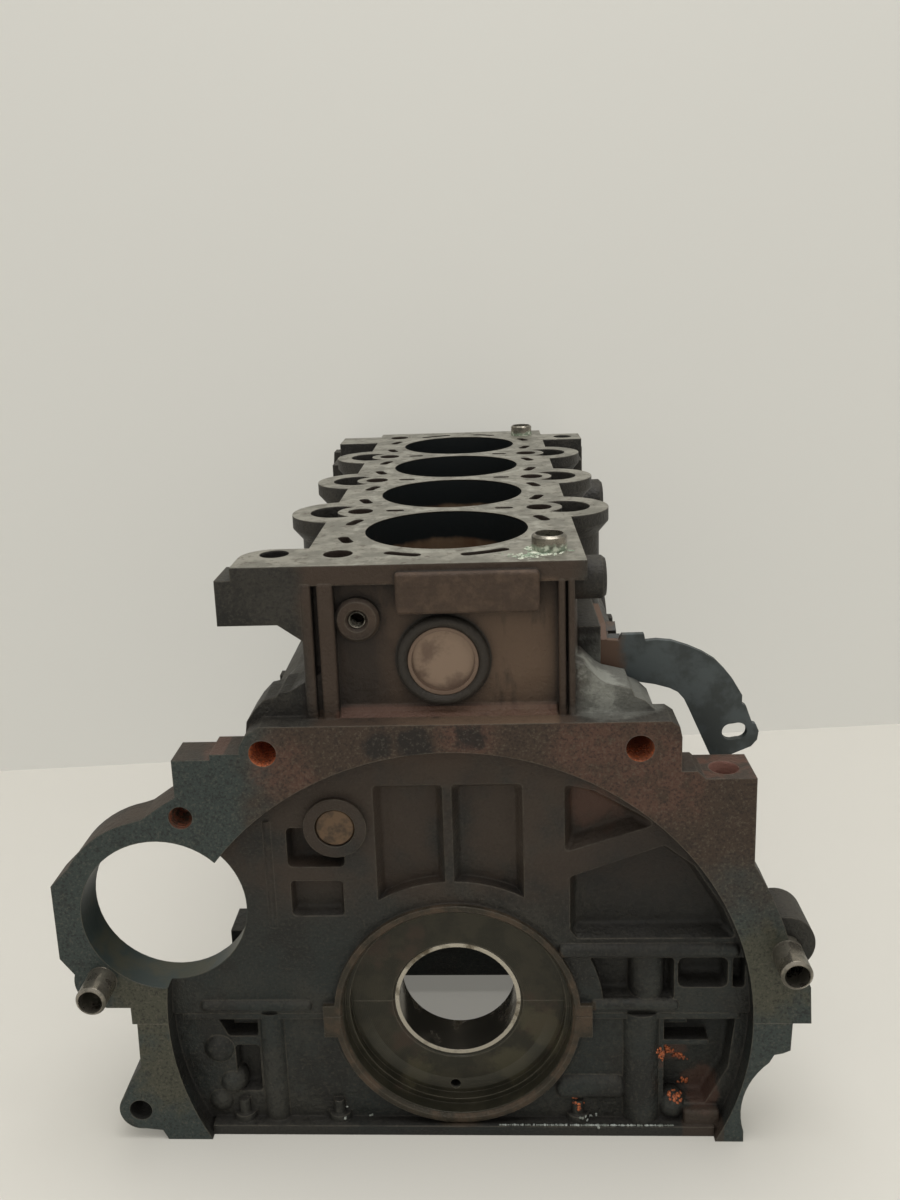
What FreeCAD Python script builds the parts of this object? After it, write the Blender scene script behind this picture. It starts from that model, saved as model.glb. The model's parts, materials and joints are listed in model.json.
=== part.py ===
import FreeCAD, Part
import os
import re

import Sketcher

# Four-cylinder engine block: a cast-iron cylinder block bolted to a bedplate at the crank centre line, with the
# shells, dowels, plugs, bolts and the pressed bracket that stay on it. Millimetres.
# Origin: on the crank axis, at the middle of the centre main bearing. +Z up to the head, -Y towards the flywheel
# (the bell-housing flange), +X to the side that carries the pressed bracket.

DIMENSIONS = (
    ("deck_height", 210.4, "crank axis to head gasket face"),
    ("deck_half", 59.5, "half width of the deck"),
    ("deck_end", 189.5, "half length of the deck"),
    ("deck_slab", 8.5, "thickness of the deck"),
    ("bore_radius", 38.0, "cylinder bore"),
    ("bore_pitch", 85.0, "cylinder spacing"),
    ("bore_foot", 72.0, "height of the bores' lower ends"),
    ("liner_radius", 44.0, "outside of the bore walls"),
    ("jacket_radius", 51.5, "outside of the water jacket"),
    ("barrel_radius", 56.5, "outside of the jacket walls"),
    ("jacket_floor", 118.0, "height of the water jacket's floor"),
    ("case_roof", 112.0, "height of the crankcase roof under the jacket"),
    ("end_face", 184.0, "outside of the end walls"),
    ("end_block", 150.0, "where the square end blocks begin"),
    ("head_bolt_x", 45.3, "head bolt holes, from the centre line"),
    ("head_bolt_end", 170.0, "end rows of head bolts, from the middle"),
    ("head_boss_radius", 11.6, "casting round a head bolt hole"),
    ("head_hole_radius", 6.4, "clearance length of a head bolt hole"),
    ("head_thread_radius", 5.1, "threaded length of a head bolt hole"),
    ("head_hole_step", 186.0, "height where the thread begins"),
    ("head_hole_foot", 124.0, "height of the head bolt holes' lower ends"),
    ("slot_radius", 48.7, "coolant slots, middle radius about the bore"),
    ("slot_half", 2.6, "coolant slots, half width"),
    ("bridge_slot_x", 27.6, "slots between the cylinders, from the centre line"),
    ("lobe_x", 56.0, "centre of a side lobe"),
    ("lobe_radius", 24.0, "lobe at the deck"),
    ("lobe_tube_radius", 19.2, "drain tube under the lobe"),
    ("lobe_rim", 6.6, "thickness of the lobe's rim"),
    ("lobe_taper", 12.4, "depth under the deck where the lobe meets its tube"),
    ("drain_x", 57.5, "centre of the drain pocket"),
    ("drain_radius", 13.3, "drain pocket"),
    ("drain_foot", 108.0, "height where the drains open into the crankcase"),
    ("shoulder_top", 148.0, "crankcase shoulder against the barrels"),
    ("shoulder_mid", 138.0, "crankcase shoulder, bend"),
    ("shoulder_low", 128.0, "crankcase shoulder at the skirt"),
    ("shoulder_x", 78.0, "crankcase shoulder bend, from the centre line"),
    ("skirt_half", 88.0, "outside of the crankcase skirt"),
    ("bay_half", 80.5, "inside of the crankcase skirt"),
    ("web_half", 11.0, "half thickness of a main bearing web"),
    ("end_web", 160.0, "inner faces of the end webs"),
    ("rail_half", 104.0, "outside of the rails at the parting line"),
    ("rail_height", 12.0, "block rail above the parting line"),
    ("bed_rail_height", 10.0, "bedplate rail below the parting line"),
    ("saddle_radius", 29.0, "main bearing saddle"),
    ("shell_wall", 2.0, "bearing shell thickness"),
    ("shell_half", 10.0, "half width of a bearing shell"),
    ("shell_gap", 0.02, "clearance behind a shell"),
    ("end_main", 171.0, "end main bearings, from the middle"),
    ("seal_depth", 15.5, "depth of the seal recess from the flange face"),
    ("seal_radius", 51.7, "rear oil seal recess"),
    ("seal_ring_radius", 55.6, "ring round the seal recess"),
    ("seal_face", 193.1, "face of the seal ring"),
    ("collar_radius", 66.0, "thickened wall round the seal ring"),
    ("flange_face", 197.5, "bell-housing joint face"),
    ("flange_back", 179.1, "back of the bell-housing flange"),
    ("bell_radius", 130.4, "bell opening"),
    ("bell_floor", 190.5, "wall inside the bell opening"),
    ("pocket_floor", 184.6, "floors of the pockets in that wall"),
    ("flange_top", 143.0, "top edge of the flange"),
    ("flange_arc", 150.0, "outer arc of the flange"),
    ("lug_left", 117.6, "left lug of the flange"),
    ("lug_left_top", 128.5, "top of the left lug"),
    ("lug_right", 128.7, "right lug of the flange"),
    ("lug_right_top", 117.0, "top of the right lug"),
    ("starter_x", -128.3, "starter opening"),
    ("starter_z", 54.6, "starter opening"),
    ("starter_radius", 36.2, "starter opening"),
    ("starter_ring", 46.2, "ring round the starter opening"),
    ("bell_bolt_radius", 5.9, "bell-housing bolt holes"),
    ("bell_left_x", -78.2, "upper left bell bolt"),
    ("bell_right_x", 80.3, "upper right bell bolt"),
    ("bell_top_z", 131.0, "upper bell bolts"),
    ("dowel_left_x", -158.5, "left bell dowel"),
    ("dowel_left_z", 22.6, "left bell dowel"),
    ("dowel_right_x", 144.0, "right bell dowel"),
    ("dowel_right_z", 34.3, "right bell dowel"),
    ("bell_dowel_radius", 6.75, "bell dowel, outside"),
    ("bell_dowel_bore", 5.3, "bell dowel, inside"),
    ("bell_dowel_out", 15.0, "bell dowel, length outside the flange"),
    ("bell_dowel_in", 12.0, "bell dowel, length in the flange"),
    ("deck_dowel_radius", 7.5, "head dowel, outside"),
    ("deck_dowel_bore", 6.0, "head dowel, inside"),
    ("deck_dowel_out", 7.0, "head dowel, height above the deck"),
    ("deck_dowel_in", 8.0, "head dowel, depth in the deck"),
    ("dowel_bite", 0.08, "what a dowel is wider by inside its hole"),
    ("dowel_relief", 0.6, "relief round a dowel at the face it stands on"),
    ("press_gap", 0.02, "clearance modelled round a pressed-in piece"),
    ("bed_depth", 61.3, "crank axis to the sump rail face"),
    ("bed_web_foot", 50.0, "depth of the bedplate webs"),
    ("sump_rail_height", 8.0, "thickness of the sump rail"),
    ("sump_rail_face", 194.5, "flywheel-end face of the sump rail"),
    ("sump_rail_rear", 115.2, "half width of the sump rail at the flywheel end"),
    ("bed_wall", 188.5, "bedplate wall inside the bell opening"),
    ("ear_z", -45.6, "lower left ear of the flange"),
    ("ear_x", -147.5, "lower left ear of the flange"),
    ("main_bolt_x", 38.5, "main bolts, from the centre line"),
    ("main_bolt_radius", 5.5, "main bolt shank"),
    ("main_hole_radius", 5.8, "main bolt hole in the bedplate"),
    ("main_thread_top", 52.0, "upper ends of the main bolt holes"),
    ("main_bolt_tip", 46.0, "upper ends of the main bolts"),
    ("main_spot", 43.0, "depth of the spotfaces under the main bolt heads"),
    ("main_head_height", 9.0, "main bolt head"),
    ("rail_bolt_x", 96.0, "rail bolts, from the centre line"),
    ("rail_bolt_radius", 3.95, "rail bolt shank"),
    ("rail_hole_radius", 4.4, "rail bolt hole in the bedplate"),
    ("rail_thread_radius", 4.0, "rail bolt thread in the block"),
    ("rail_bolt_tip", 20.0, "upper ends of the rail bolts"),
    ("rail_head_height", 7.0, "rail bolt head"),
    ("core_plug_radius", 15.0, "core plug"),
    ("core_plug_depth", 4.5, "core plug cup"),
    ("core_plug_wall", 1.6, "core plug sheet"),
    ("core_boss_radius", 19.8, "ring round a core plug"),
    ("rear_plug_drop", 43.4, "rear core plug, below the deck"),
    ("rear_plug_x", -0.8, "rear core plug"),
    ("side_plug_drop", 46.4, "side core plugs, below the deck"),
    ("gallery_x", -50.2, "main oil gallery"),
    ("gallery_z", 93.6, "main oil gallery"),
    ("gallery_radius", 6.0, "main oil gallery"),
    ("gallery_tube", 10.4, "casting round the gallery in the crankcase"),
    ("gallery_boss", 13.8, "gallery boss in the bell wall"),
    ("gallery_face", 193.0, "face of the gallery boss"),
    ("gallery_plug_radius", 8.75, "gallery plug"),
    ("gallery_plug_depth", 7.0, "gallery plug"),
    ("bracket_y", -158.0, "front face of the bracket arm"),
    ("bracket_sheet", 3.0, "bracket sheet"),
    ("bracket_seat", 68.0, "pad that carries the bracket"),
    ("bracket_foot", 36.0, "length of the bracket's foot along the block"),
)

NODE_FOLDER = "parts"
BORES = [f"({step} * bore_pitch)" for step in (-1.5, -0.5, 0.5, 1.5)]
ROWS = [f"({step} * bore_pitch)" for step in (-1, 0, 1)]
MAINS = ["(-end_main)", *ROWS, "(end_main)"]
SIDES = ((-1, "left"), (1, "right"))
TURNS = {
    "X": FreeCAD.Rotation(FreeCAD.Vector(0, 1, 0), 90),
    "Y": FreeCAD.Rotation(FreeCAD.Vector(1, 0, 0), -90),
    "Z": FreeCAD.Rotation(),
}
SKETCH_TURNS = {
    "X": FreeCAD.Rotation(FreeCAD.Vector(1, 1, 1), 120),
    "Y": FreeCAD.Rotation(FreeCAD.Vector(1, 0, 0), 90),
    "Z": FreeCAD.Rotation(),
}

doc = FreeCAD.newDocument("EngineBlock")
sheet = doc.addObject("Spreadsheet::Sheet", "dims")
for row, (alias, value, note) in enumerate(DIMENSIONS, start=1):
    sheet.set(f"A{row}", note)
    sheet.set(f"B{row}", str(value))
    sheet.setAlias(f"B{row}", alias)
doc.recompute()
ALIASES = {alias for alias, _, _ in DIMENSIONS}
nodes = []


def formula(text):
    """Turn a formula in plain dimension names into one that reads the sheet."""
    return re.sub(r"[a-z]\w*", lambda word: ("dims." if word.group() in ALIASES else "") + word.group(), str(text))


def bind(item, prop, text):
    """Tie one property of an object to a formula."""
    item.setExpression(prop, formula(text))


def place(item, spots):
    """Tie an object's position to formulas, by axis letter."""
    for letter, text in spots.items():
        bind(item, f"Placement.Base.{letter.lower()}", text)


def box(name, x, y, z):
    """A block between a low and a high formula on each axis."""
    item = doc.addObject("Part::Box", name)
    for size, letter, (low, high) in (("Length", "X", x), ("Width", "Y", y), ("Height", "Z", z)):
        bind(item, size, f"({high}) - ({low})")
        place(item, {letter: low})
    return item


def rod(name, axis, centre, radius, span, end_radius=None):
    """A cylinder along an axis, or a cone when its far end has another radius."""
    item = doc.addObject("Part::Cylinder" if end_radius is None else "Part::Cone", name)
    item.Placement = FreeCAD.Placement(FreeCAD.Vector(), TURNS[axis])
    spots = dict(zip("XYZ".replace(axis, ""), centre))
    spots[axis] = span[0]
    place(item, spots)
    bind(item, "Height", f"({span[1]}) - ({span[0]})")
    if end_radius is None:
        bind(item, "Radius", radius)
    else:
        bind(item, "Radius1", radius)
        bind(item, "Radius2", end_radius)
    return item


def draw(sketch, outline):
    """Draw a closed polygon in a sketch and tie each corner to its formulas."""
    corners = [[float(sheet.evalExpression(formula(text))) for text in corner] for corner in outline]
    count = len(corners)
    for index, start in enumerate(corners):
        end = corners[(index + 1) % count]
        sketch.addGeometry(Part.LineSegment(FreeCAD.Vector(*start, 0), FreeCAD.Vector(*end, 0)), False)
    for index in range(count):
        sketch.addConstraint(Sketcher.Constraint("Coincident", index, 2, (index + 1) % count, 1))
    for index, corner in enumerate(outline):
        for way, place_now, text in zip(("DistanceX", "DistanceY"), corners[index], corner):
            number = sketch.addConstraint(Sketcher.Constraint(way, index, 1, place_now))
            bind(sketch, f"Constraints[{number}]", text)


def prism(name, axis, outline, span):
    """A polygon, given in the two other axes, drawn out along an axis."""
    sketch = doc.addObject("Sketcher::SketchObject", f"{name}_outline")
    sketch.Placement = FreeCAD.Placement(FreeCAD.Vector(), SKETCH_TURNS[axis])
    place(sketch, {axis: span[1] if axis == "Y" else span[0]})
    draw(sketch, outline)
    item = doc.addObject("Part::Extrusion", name)
    item.Base = sketch
    item.DirMode = "Normal"
    item.Solid = True
    bind(item, "LengthFwd", f"({span[1]}) - ({span[0]})")
    return item


def fuse(name, *solids):
    """All the solids as one."""
    if len(solids) == 1:
        return solids[0]
    item = doc.addObject("Part::MultiFuse", name)
    item.Shapes = list(solids)
    return item


def cut(name, base, *tools):
    """The base without the tools."""
    item = doc.addObject("Part::Cut", name)
    item.Base = base
    item.Tool = fuse(f"{name}_tools", *tools)
    return item


def common(name, first, second):
    """What two solids share."""
    item = doc.addObject("Part::Common", name)
    item.Base = first
    item.Tool = second
    return item


def soften(item, radius, base=None):
    """Round a solid's edges, apart from those that lie in its base plane."""
    item.recompute(True)
    axis, level = (base[0], float(sheet.evalExpression(formula(base[1])))) if base else ("Z", -1000)
    rounded = doc.addObject("Part::Fillet", f"{item.Name}_rounded")
    rounded.Base = item
    rounded.Edges = [
        (index, radius, radius)
        for index, edge in enumerate(item.Shape.Edges, start=1)
        if any(abs(getattr(vertex, axis) - level) > 0.01 for vertex in edge.Vertexes)
    ]
    return rounded


def pocket(name, outline, wall, depth, draft=15, radius=1.8):
    """A recess sunk from the flywheel end into a wall, with drafted sides and a rounded floor."""
    mouth = f"-({wall}) - 0.3"
    item = prism(name, "Y", outline, (mouth, mouth))
    bind(item, "LengthFwd", depth)
    item.Reversed = True
    item.TaperAngle = -draft
    return soften(item, radius, ("Y", mouth))


def oblong(x, z):
    """The four corners of a rectangle."""
    return [(x[0], z[0]), (x[0], z[1]), (x[1], z[1]), (x[1], z[0])]


def torus(name, axis, centre, radius, thickness, at):
    """A ring of round section about an axis."""
    item = doc.addObject("Part::Torus", name)
    item.Placement = FreeCAD.Placement(FreeCAD.Vector(), TURNS[axis])
    place(item, {**dict(zip("XYZ".replace(axis, ""), centre)), axis: at})
    bind(item, "Radius1", radius)
    bind(item, "Radius2", thickness)
    return item


def lump(name, x, z, radius, wall, proud):
    """A dome that stands out of a flywheel-end wall."""
    item = doc.addObject("Part::Sphere", name)
    bind(item, "Radius", radius)
    place(item, {"X": x, "Y": f"-({wall}) + {radius} - {proud}", "Z": z})
    return item


def node(name, item):
    """Name an object as a piece of the assembly."""
    item.Label = name
    nodes.append(item)
    return item


def body(name, axis, spots):
    """An empty body whose own Z axis lies along an axis of the block."""
    item = doc.addObject("PartDesign::Body", name)
    item.Placement = FreeCAD.Placement(FreeCAD.Vector(), TURNS[axis])
    place(item, spots)
    return node(name, item)


def plane_of(item, role):
    """One of a body's own origin planes or axes."""
    return next(feature for feature in item.Origin.OriginFeatures if feature.Role == role)


def body_sketch(item, name, role):
    """A sketch on one of a body's origin planes."""
    sketch = item.newObject("Sketcher::SketchObject", name)
    sketch.AttachmentSupport = [(plane_of(item, role), "")]
    sketch.MapMode = "FlatFace"
    return sketch


def turned(name, axis, spots, outline, angle=360):
    """A piece turned about its own axis from an outline of radius and height."""
    item = body(name, axis, spots)
    sketch = body_sketch(item, f"{name}_section", "XZ_Plane")
    draw(sketch, outline)
    turn = item.newObject("PartDesign::Revolution", f"{name}_turn")
    turn.Profile = sketch
    turn.ReferenceAxis = (sketch, ["V_Axis"])
    turn.Angle = angle
    return item


# ---------------------------------------------------------------- shapes that block and bedplate share

bell_opening = rod("bell_opening", "Y", (0, 0), "bell_radius", ("-flange_face - 1", "-bell_floor"))
seal_ring = fuse(
    "seal_ring",
    rod("seal_ring_rim", "Y", (0, 0), "seal_ring_radius", ("-seal_face", "-flange_back")),
    *[
        box(f"seal_ear_{side}", sorted_span, ("-seal_face", "-flange_back"), (-10.5, 5.5))
        for side, sorted_span in (("left", ("-seal_ring_radius - 5", -48)), ("right", (48, "seal_ring_radius + 5")))
    ],
)
seal_recess = fuse(
    "seal_recess",
    rod("seal_bore", "Y", (0, 0), "seal_radius", ("-flange_face", "-flange_face + seal_depth - 4")),
    rod("seal_bore_inner", "Y", (0, 0), "seal_radius - 2.5",
        ("-flange_face + seal_depth - 4.5", "-flange_face + seal_depth")),
    rod("seal_lead", "Y", (0, 0), "seal_radius + 1.6", ("-seal_face - 0.1", "-seal_face + 1.6"), "seal_radius"),
)
main_bore = fuse(
    "main_bore",
    rod("main_bore_line", "Y", (0, 0), "saddle_radius", ("-flange_face", "deck_end + 1")),
    rod("main_bore_lead", "Y", (0, 0), "saddle_radius + 1.5",
        ("-flange_face + seal_depth - 0.5", "-flange_face + seal_depth + 1.2"), "saddle_radius"),
)
above_parting = box("above_parting", (-250, 250), (-250, 250), (0, 300))
below_parting = box("below_parting", (-250, 250), (-250, 250), (-100, 0))


# ---------------------------------------------------------------- cylinder block

def upper_castings():
    """Deck, barrels, end blocks, head bolt bosses and side lobes."""
    solids = [
        box("deck", ("-deck_half", "deck_half"), ("-deck_end", "deck_end"), ("deck_height - deck_slab", "deck_height")),
        box("spine", ("-head_bolt_x", "head_bolt_x"), ("-end_face", "end_face"), ("case_roof", "deck_height - 1")),
        box("end_block_rear", ("-deck_half", 54.5), ("-end_face", "-end_block"), ("case_roof", "deck_height - 1")),
        box("end_block_front", ("-deck_half", "deck_half"), ("end_block", "end_face"), ("case_roof", "deck_height - 1")),
    ]
    for index, bore in enumerate(BORES):
        solids.append(rod(f"barrel_{index}", "Z", (0, bore), "barrel_radius", ("case_roof", "deck_height - 1")))
    for sign, side in SIDES:
        for index, row in enumerate(["(-head_bolt_end)", *ROWS, "(head_bolt_end)"]):
            centre = (f"{sign} * head_bolt_x", row)
            solids.append(rod(f"head_boss_{side}_{index}", "Z", centre, "head_boss_radius",
                              ("case_roof", "deck_height - 1")))
        for index, row in enumerate(ROWS):
            centre = (f"{sign} * lobe_x", row)
            solids += [
                rod(f"lobe_{side}_{index}", "Z", centre, "lobe_radius", ("deck_height - lobe_rim", "deck_height")),
                rod(f"lobe_neck_{side}_{index}", "Z", centre, "lobe_tube_radius",
                    ("deck_height - lobe_taper", "deck_height - lobe_rim"), "lobe_radius"),
                rod(f"lobe_tube_{side}_{index}", "Z", centre, "lobe_tube_radius",
                    ("case_roof", "deck_height - lobe_taper")),
            ]
    return solids


def deck_ears():
    """Ears at deck level: a stepped one by the flywheel end and a square pair by the timing end."""
    rounded = rod("ear_near_round", "Z", (-74.5, -173), 13.6, ("deck_height - 25.2", "deck_height"))
    return [
        rounded,
        box("ear_near", (-88.1, "-deck_half + 2"), ("-deck_end", -173), ("deck_height - 25.2", "deck_height")),
        box("ear_near_step", (-95, -80), ("-deck_end", -167), ("deck_height - 25.2", "deck_height - 5.5")),
        box("ear_near_root", (-74.5, "-deck_half + 2"), ("-deck_end", -159.4),
            ("deck_height - 25.2", "deck_height")),
        prism("ear_near_gusset", "Y", [(-70, "deck_height - 24.9"), (-58, "deck_height - 33.4"),
                                       (-58, "deck_height - 24.4")], ("-deck_end", -165)),
        box("ear_far_left", (-87, -58), (147, 176), ("deck_height - 18.4", "deck_height")),
        box("ear_far_right", (58, 87), (141, 168), ("deck_height - 18.4", "deck_height")),
    ]


def crankcase():
    """Skirted crankcase with its shoulders, rails, bolt bosses and stiffening ribs."""
    half = [("skirt_half", 0), ("skirt_half", "shoulder_low"), ("shoulder_x", "shoulder_mid"), (57, "shoulder_top")]
    outline = half + [(f"-({x})", z) for x, z in reversed(half)]
    solids = [
        prism("case", "Y", outline, ("-end_face", "end_face")),
        box("block_rail", ("-rail_half", "rail_half"), ("-end_face", "end_face"), (0, "rail_height")),
        rod("gallery_boss_front", "Y", ("gallery_x", "gallery_z"), "gallery_boss", (150, "deck_end")),
    ]
    for sign, side in SIDES:
        low, high = sorted((sign * 80, sign * 92))
        for index, row in enumerate(ROWS):
            solids.append(box(f"web_rib_{side}_{index}", (low, high), (f"{row} - 3.5", f"{row} + 3.5"), (5, 124)))
        solids.append(box(f"long_rib_{side}", (low, high), (-178, 180), (72, 79)))
        for index, spot in enumerate(RAIL_BOLTS):
            solids.append(rod(f"rail_boss_{side}_{index}", "Z", (f"{sign} * rail_bolt_x", spot), 8, (0, 26)))
    return solids


RAIL_BOLTS = (-140, -85, -30, 30, 85, 140)


def bell_flange():
    """Bell-housing flange above the parting line: plate, lugs, starter ring, dowel bosses and gussets."""
    span = ("-flange_face", "-flange_back")
    plate = [
        (-147, 0), (-147, 30), ("-lug_left", 60), ("-lug_left", "lug_left_top"), (-101, "lug_left_top"), (-101, 131),
        (-88.5, 131), (-88, 134.5), (-85, 139.5), (-79, "flange_top"), (93, "flange_top"), (96.5, 140.5), (97.5, 136),
        (97.5, 120.5), (104, 120.5), (107.5, "lug_right_top"), ("lug_right", "lug_right_top"), ("lug_right", 0),
    ]
    left_pad = [(-176.7, 33.5), (-176.7, 69.4), (-168.5, 77.5), (-162, 84.8), (-154.5, 91.5), (-147.3, 96.5),
                (-140, 99), (-133, 101.3), (-125, 106.8), ("-lug_left", 111.4), (-100, 111.4), (-100, 70), (-140, 60),
                (-140, 8.4), (-158, 8.4)]
    right_foot = [(120, 0), (155.5, 0), (154.6, 18), (150, 28), (141, 48), (120, 60)]
    disc = rod("flange_disc", "Y", (0, 0), "flange_arc", span)
    solids = [
        prism("flange_plate", "Y", plate, span),
        common("flange_rim", disc, box("flange_rim_limit", (90, 160), ("-flange_face", "-flange_back"), (0, 80))),
        rod("starter_ring_wall", "Y", ("starter_x", "starter_z"), "starter_ring", span),
        prism("starter_pad", "Y", left_pad, span),
        rod("dowel_boss_left", "Y", (-158.3, 21.6), 13, span),
        prism("dowel_foot_right", "Y", right_foot, span),
        rod("dowel_boss_right", "Y", (144, 37), 12.8, ("-flange_face + 3.5", "-flange_back + 8")),
        box("bearer_lug_right", (104, "lug_right"), ("-flange_back - 1", -174.5), (95, "lug_right_top")),
        prism("shoulder_left", "Y", [(-50, 130), (-50, 164), (-57.7, 160), (-66.6, 154.6), (-71.4, 154), (-73, 152),
                                     (-78.5, 150.7), (-83, 146), (-86.6, 140.8), (-88, 130)], (-186.5, -165)),
        prism("shoulder_right", "Y", [(50, 130), (50, 166), (58.6, 164), (64.8, 157.5), (67.7, 155.6), (78, 153),
                                      (79.4, 149.6), (83.6, 147.7), (87.8, 143.6), (88, 130)], (-186.5, -163)),
    ]
    gussets = (("left", -1, -112, (14, 21)), ("left_top", -1, -112, (100, 107)), ("right", 1, 130, (32, 39)),
               ("right_top", 1, 122, (98, 105)))
    for name, sign, reach, levels in gussets:
        corners = [(sign * 84, -180), (reach, -180), (reach, -177), (sign * 84, -138)]
        solids.append(prism(f"gusset_{name}", "Z", corners, levels))
    return solids


def rear_wall_castings():
    """Ribs, pad and bosses that stand out of the flywheel-end wall."""
    foot = "flange_top - 2"
    roof = "deck_height - deck_slab + 1"
    rib_face = "-end_face - 6"
    ribs = (("left_corner", ("-deck_half", -54.8)), ("left", (-52.4, -45.6)), ("right", (47.6, 50.6)),
            ("right_corner", (51.6, 54.5)))
    solids = [soften(box(f"rear_rib_{name}", x, (rib_face, "-end_face + 4"), (foot, roof)), 1.2) for name, x in ribs]
    return solids + [
        soften(box("rear_pad", (-19.5, 40), ("-deck_end - 3", "-end_face + 4"),
                   ("deck_height - 21", "deck_height - 3.1")), 1.6),
        prism("rear_fillet", "X", [("-end_face - 7", "flange_top - 1"), ("-end_face - 1.8", "flange_top + 1.6"),
                                   ("-end_face + 1", "flange_top + 5.5"), ("-end_face + 1", "flange_top - 1")],
              (-47, 47)),
        rod("rear_plug_boss", "Y", ("rear_plug_x", "deck_height - rear_plug_drop"), "core_boss_radius",
            ("-end_face - 2", "-end_face + 1")),
        torus("rear_plug_ring", "Y", ("rear_plug_x", "deck_height - rear_plug_drop"), "core_boss_radius - 2.4", 2.4,
              "-end_face - 2"),
        rod("rear_thread_boss", "Y", (-36.3, "deck_height - 24.4"), 9.6, ("-end_face - 3", "-end_face + 1")),
        rod("rear_thread_boss_lip", "Y", (-36.3, "deck_height - 24.4"), 8.2, ("-end_face - 4.5", "-end_face - 3"), 9.6),
        rod("rear_side_boss", "X", (-172, "deck_height - 12.1"), 9.3, (50, 67)),
        rod("rear_side_boss_end", "X", (-172, "deck_height - 12.1"), 9.3, (67, 68.6), 8),
    ]


def side_castings():
    """Bosses on the block's sides."""
    solids = [
        box("bracket_pad", (58, "bracket_seat"), (-160, -118), (139, 172)),
        rod("side_boss_right", "X", (60, "deck_height - 26.4"), 12, (40, 90.5)),
        rod("side_boss_right_end", "X", (60, "deck_height - 26.4"), 12, (90.5, 92.5), 10),
        rod("filter_pad", "X", (95, 82), 31, (70, 97)),
        box("rail_lug_left", (-109, -84), (-160, -142), (2, 22)),
        box("rail_lug_left_root", (-96, -84), (-160, -142), (2, 40)),
    ]
    for index, (along, up) in enumerate(MOUNT_BOSSES):
        solids.append(rod(f"mount_boss_{index}", "X", (along, up), 11.5, (-97, -70)))
    for index, (side, bore) in enumerate(SIDE_PLUGS):
        low, high = sorted((side * 45, side * 59.5))
        solids.append(rod(f"side_plug_boss_{index}", "X", (bore, "deck_height - side_plug_drop"), "core_boss_radius - 2",
                          (low, high)))
    return solids


MOUNT_BOSSES = ((20, 118), (110, 118), (20, 44), (110, 44))
SIDE_PLUGS = ((-1, BORES[1]), (-1, BORES[2]), (-1, BORES[3]), (1, BORES[1]), (1, BORES[3]))


def front_castings():
    """Timing-end flange, wider than the block."""
    outline = [
        (-98, 0), (-98, "deck_height - 35.4"), (-96, "deck_height - 10.4"), (-60, "deck_height - 10.4"),
        (60, "deck_height - 10.4"), (90.5, "deck_height - 11.4"), (90.5, 150), (98, 120), (98, 0),
    ]
    return [
        prism("front_flange", "Y", outline, ("end_face - 8", "deck_end")),
        box("front_cheek_left", (-89, -50), (118, 180), (176, "deck_height - 10.4")),
        box("front_cheek_right", (50, 84.5), (112, 180), (176, "deck_height - 10.4")),
    ]


def arc_slot(name, bore, angle, half):
    """A coolant slot through the deck, bent round a bore, with round ends."""
    span = ("deck_height - deck_slab - 1", "deck_height + 1")
    outer = rod(f"{name}_outer", "Z", (0, bore), "slot_radius + slot_half", span)
    outer.Placement.Rotation = FreeCAD.Rotation(FreeCAD.Vector(0, 0, 1), angle - half)
    bind(outer, "Angle", 2 * half)
    arc = cut(f"{name}_arc", outer, rod(f"{name}_inner", "Z", (0, bore), "slot_radius - slot_half",
                                        (f"{span[0]} - 1", f"{span[1]} + 1")))
    ends = [
        rod(f"{name}_end_{way + 1}", "Z",
            (f"slot_radius * cos({angle + way * half})", f"{bore} + slot_radius * sin({angle + way * half})"),
            "slot_half", span)
        for way in (-1, 1)
    ]
    return fuse(name, arc, *ends)


def water_spaces():
    """Water jacket, core holes and the coolant slots through the deck."""
    jacket = cut(
        "water_jacket",
        fuse("jacket_outer", *[rod(f"jacket_{index}", "Z", (0, bore), "jacket_radius",
                                   ("jacket_floor", "deck_height - deck_slab")) for index, bore in enumerate(BORES)]),
        *[rod(f"liner_{index}", "Z", (0, bore), "liner_radius", ("jacket_floor - 1", "deck_height"))
          for index, bore in enumerate(BORES)],
    )
    slots = []
    for index, bore in enumerate(BORES):
        for angle in (21.4, 158.6, 201.4, 338.6):
            slots.append(arc_slot(f"deck_slot_{index}_{round(angle)}", bore, angle, 4.6))
    for name, bore, angle, half in (("near_left", BORES[0], 249, 7), ("near_right", BORES[0], 292, 10),
                                    ("far_left", BORES[3], 112, 10), ("far_right", BORES[3], 69, 7)):
        slots.append(arc_slot(f"deck_kidney_{name}", bore, angle, half))
    for sign, side in SIDES:
        for index, row in enumerate(ROWS):
            ends = [f"{sign} * bridge_slot_x - 2.6", f"{sign} * bridge_slot_x + 2.6"]
            span = ("deck_height - deck_slab - 1", "deck_height + 1")
            slots.append(box(f"bridge_slot_{side}_{index}", ends, (f"{row} - 2.1", f"{row} + 2.1"), span))
            for number, end in enumerate(ends):
                slots.append(rod(f"bridge_slot_end_{side}_{index}_{number}", "Z", (end, row), 2.1, span))
    core_holes = [rod("rear_core_hole", "Y", ("rear_plug_x", "deck_height - rear_plug_drop"), "core_plug_radius",
                      ("-end_face - 9", "-end_face + 8"))]
    for index, (side, bore) in enumerate(SIDE_PLUGS):
        low, high = sorted((side * 48, side * 62))
        core_holes.append(rod(f"side_core_hole_{index}", "X", (bore, "deck_height - side_plug_drop"), "core_plug_radius - 2",
                              (low, high)))
    return [jacket, *slots, *core_holes]


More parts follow.
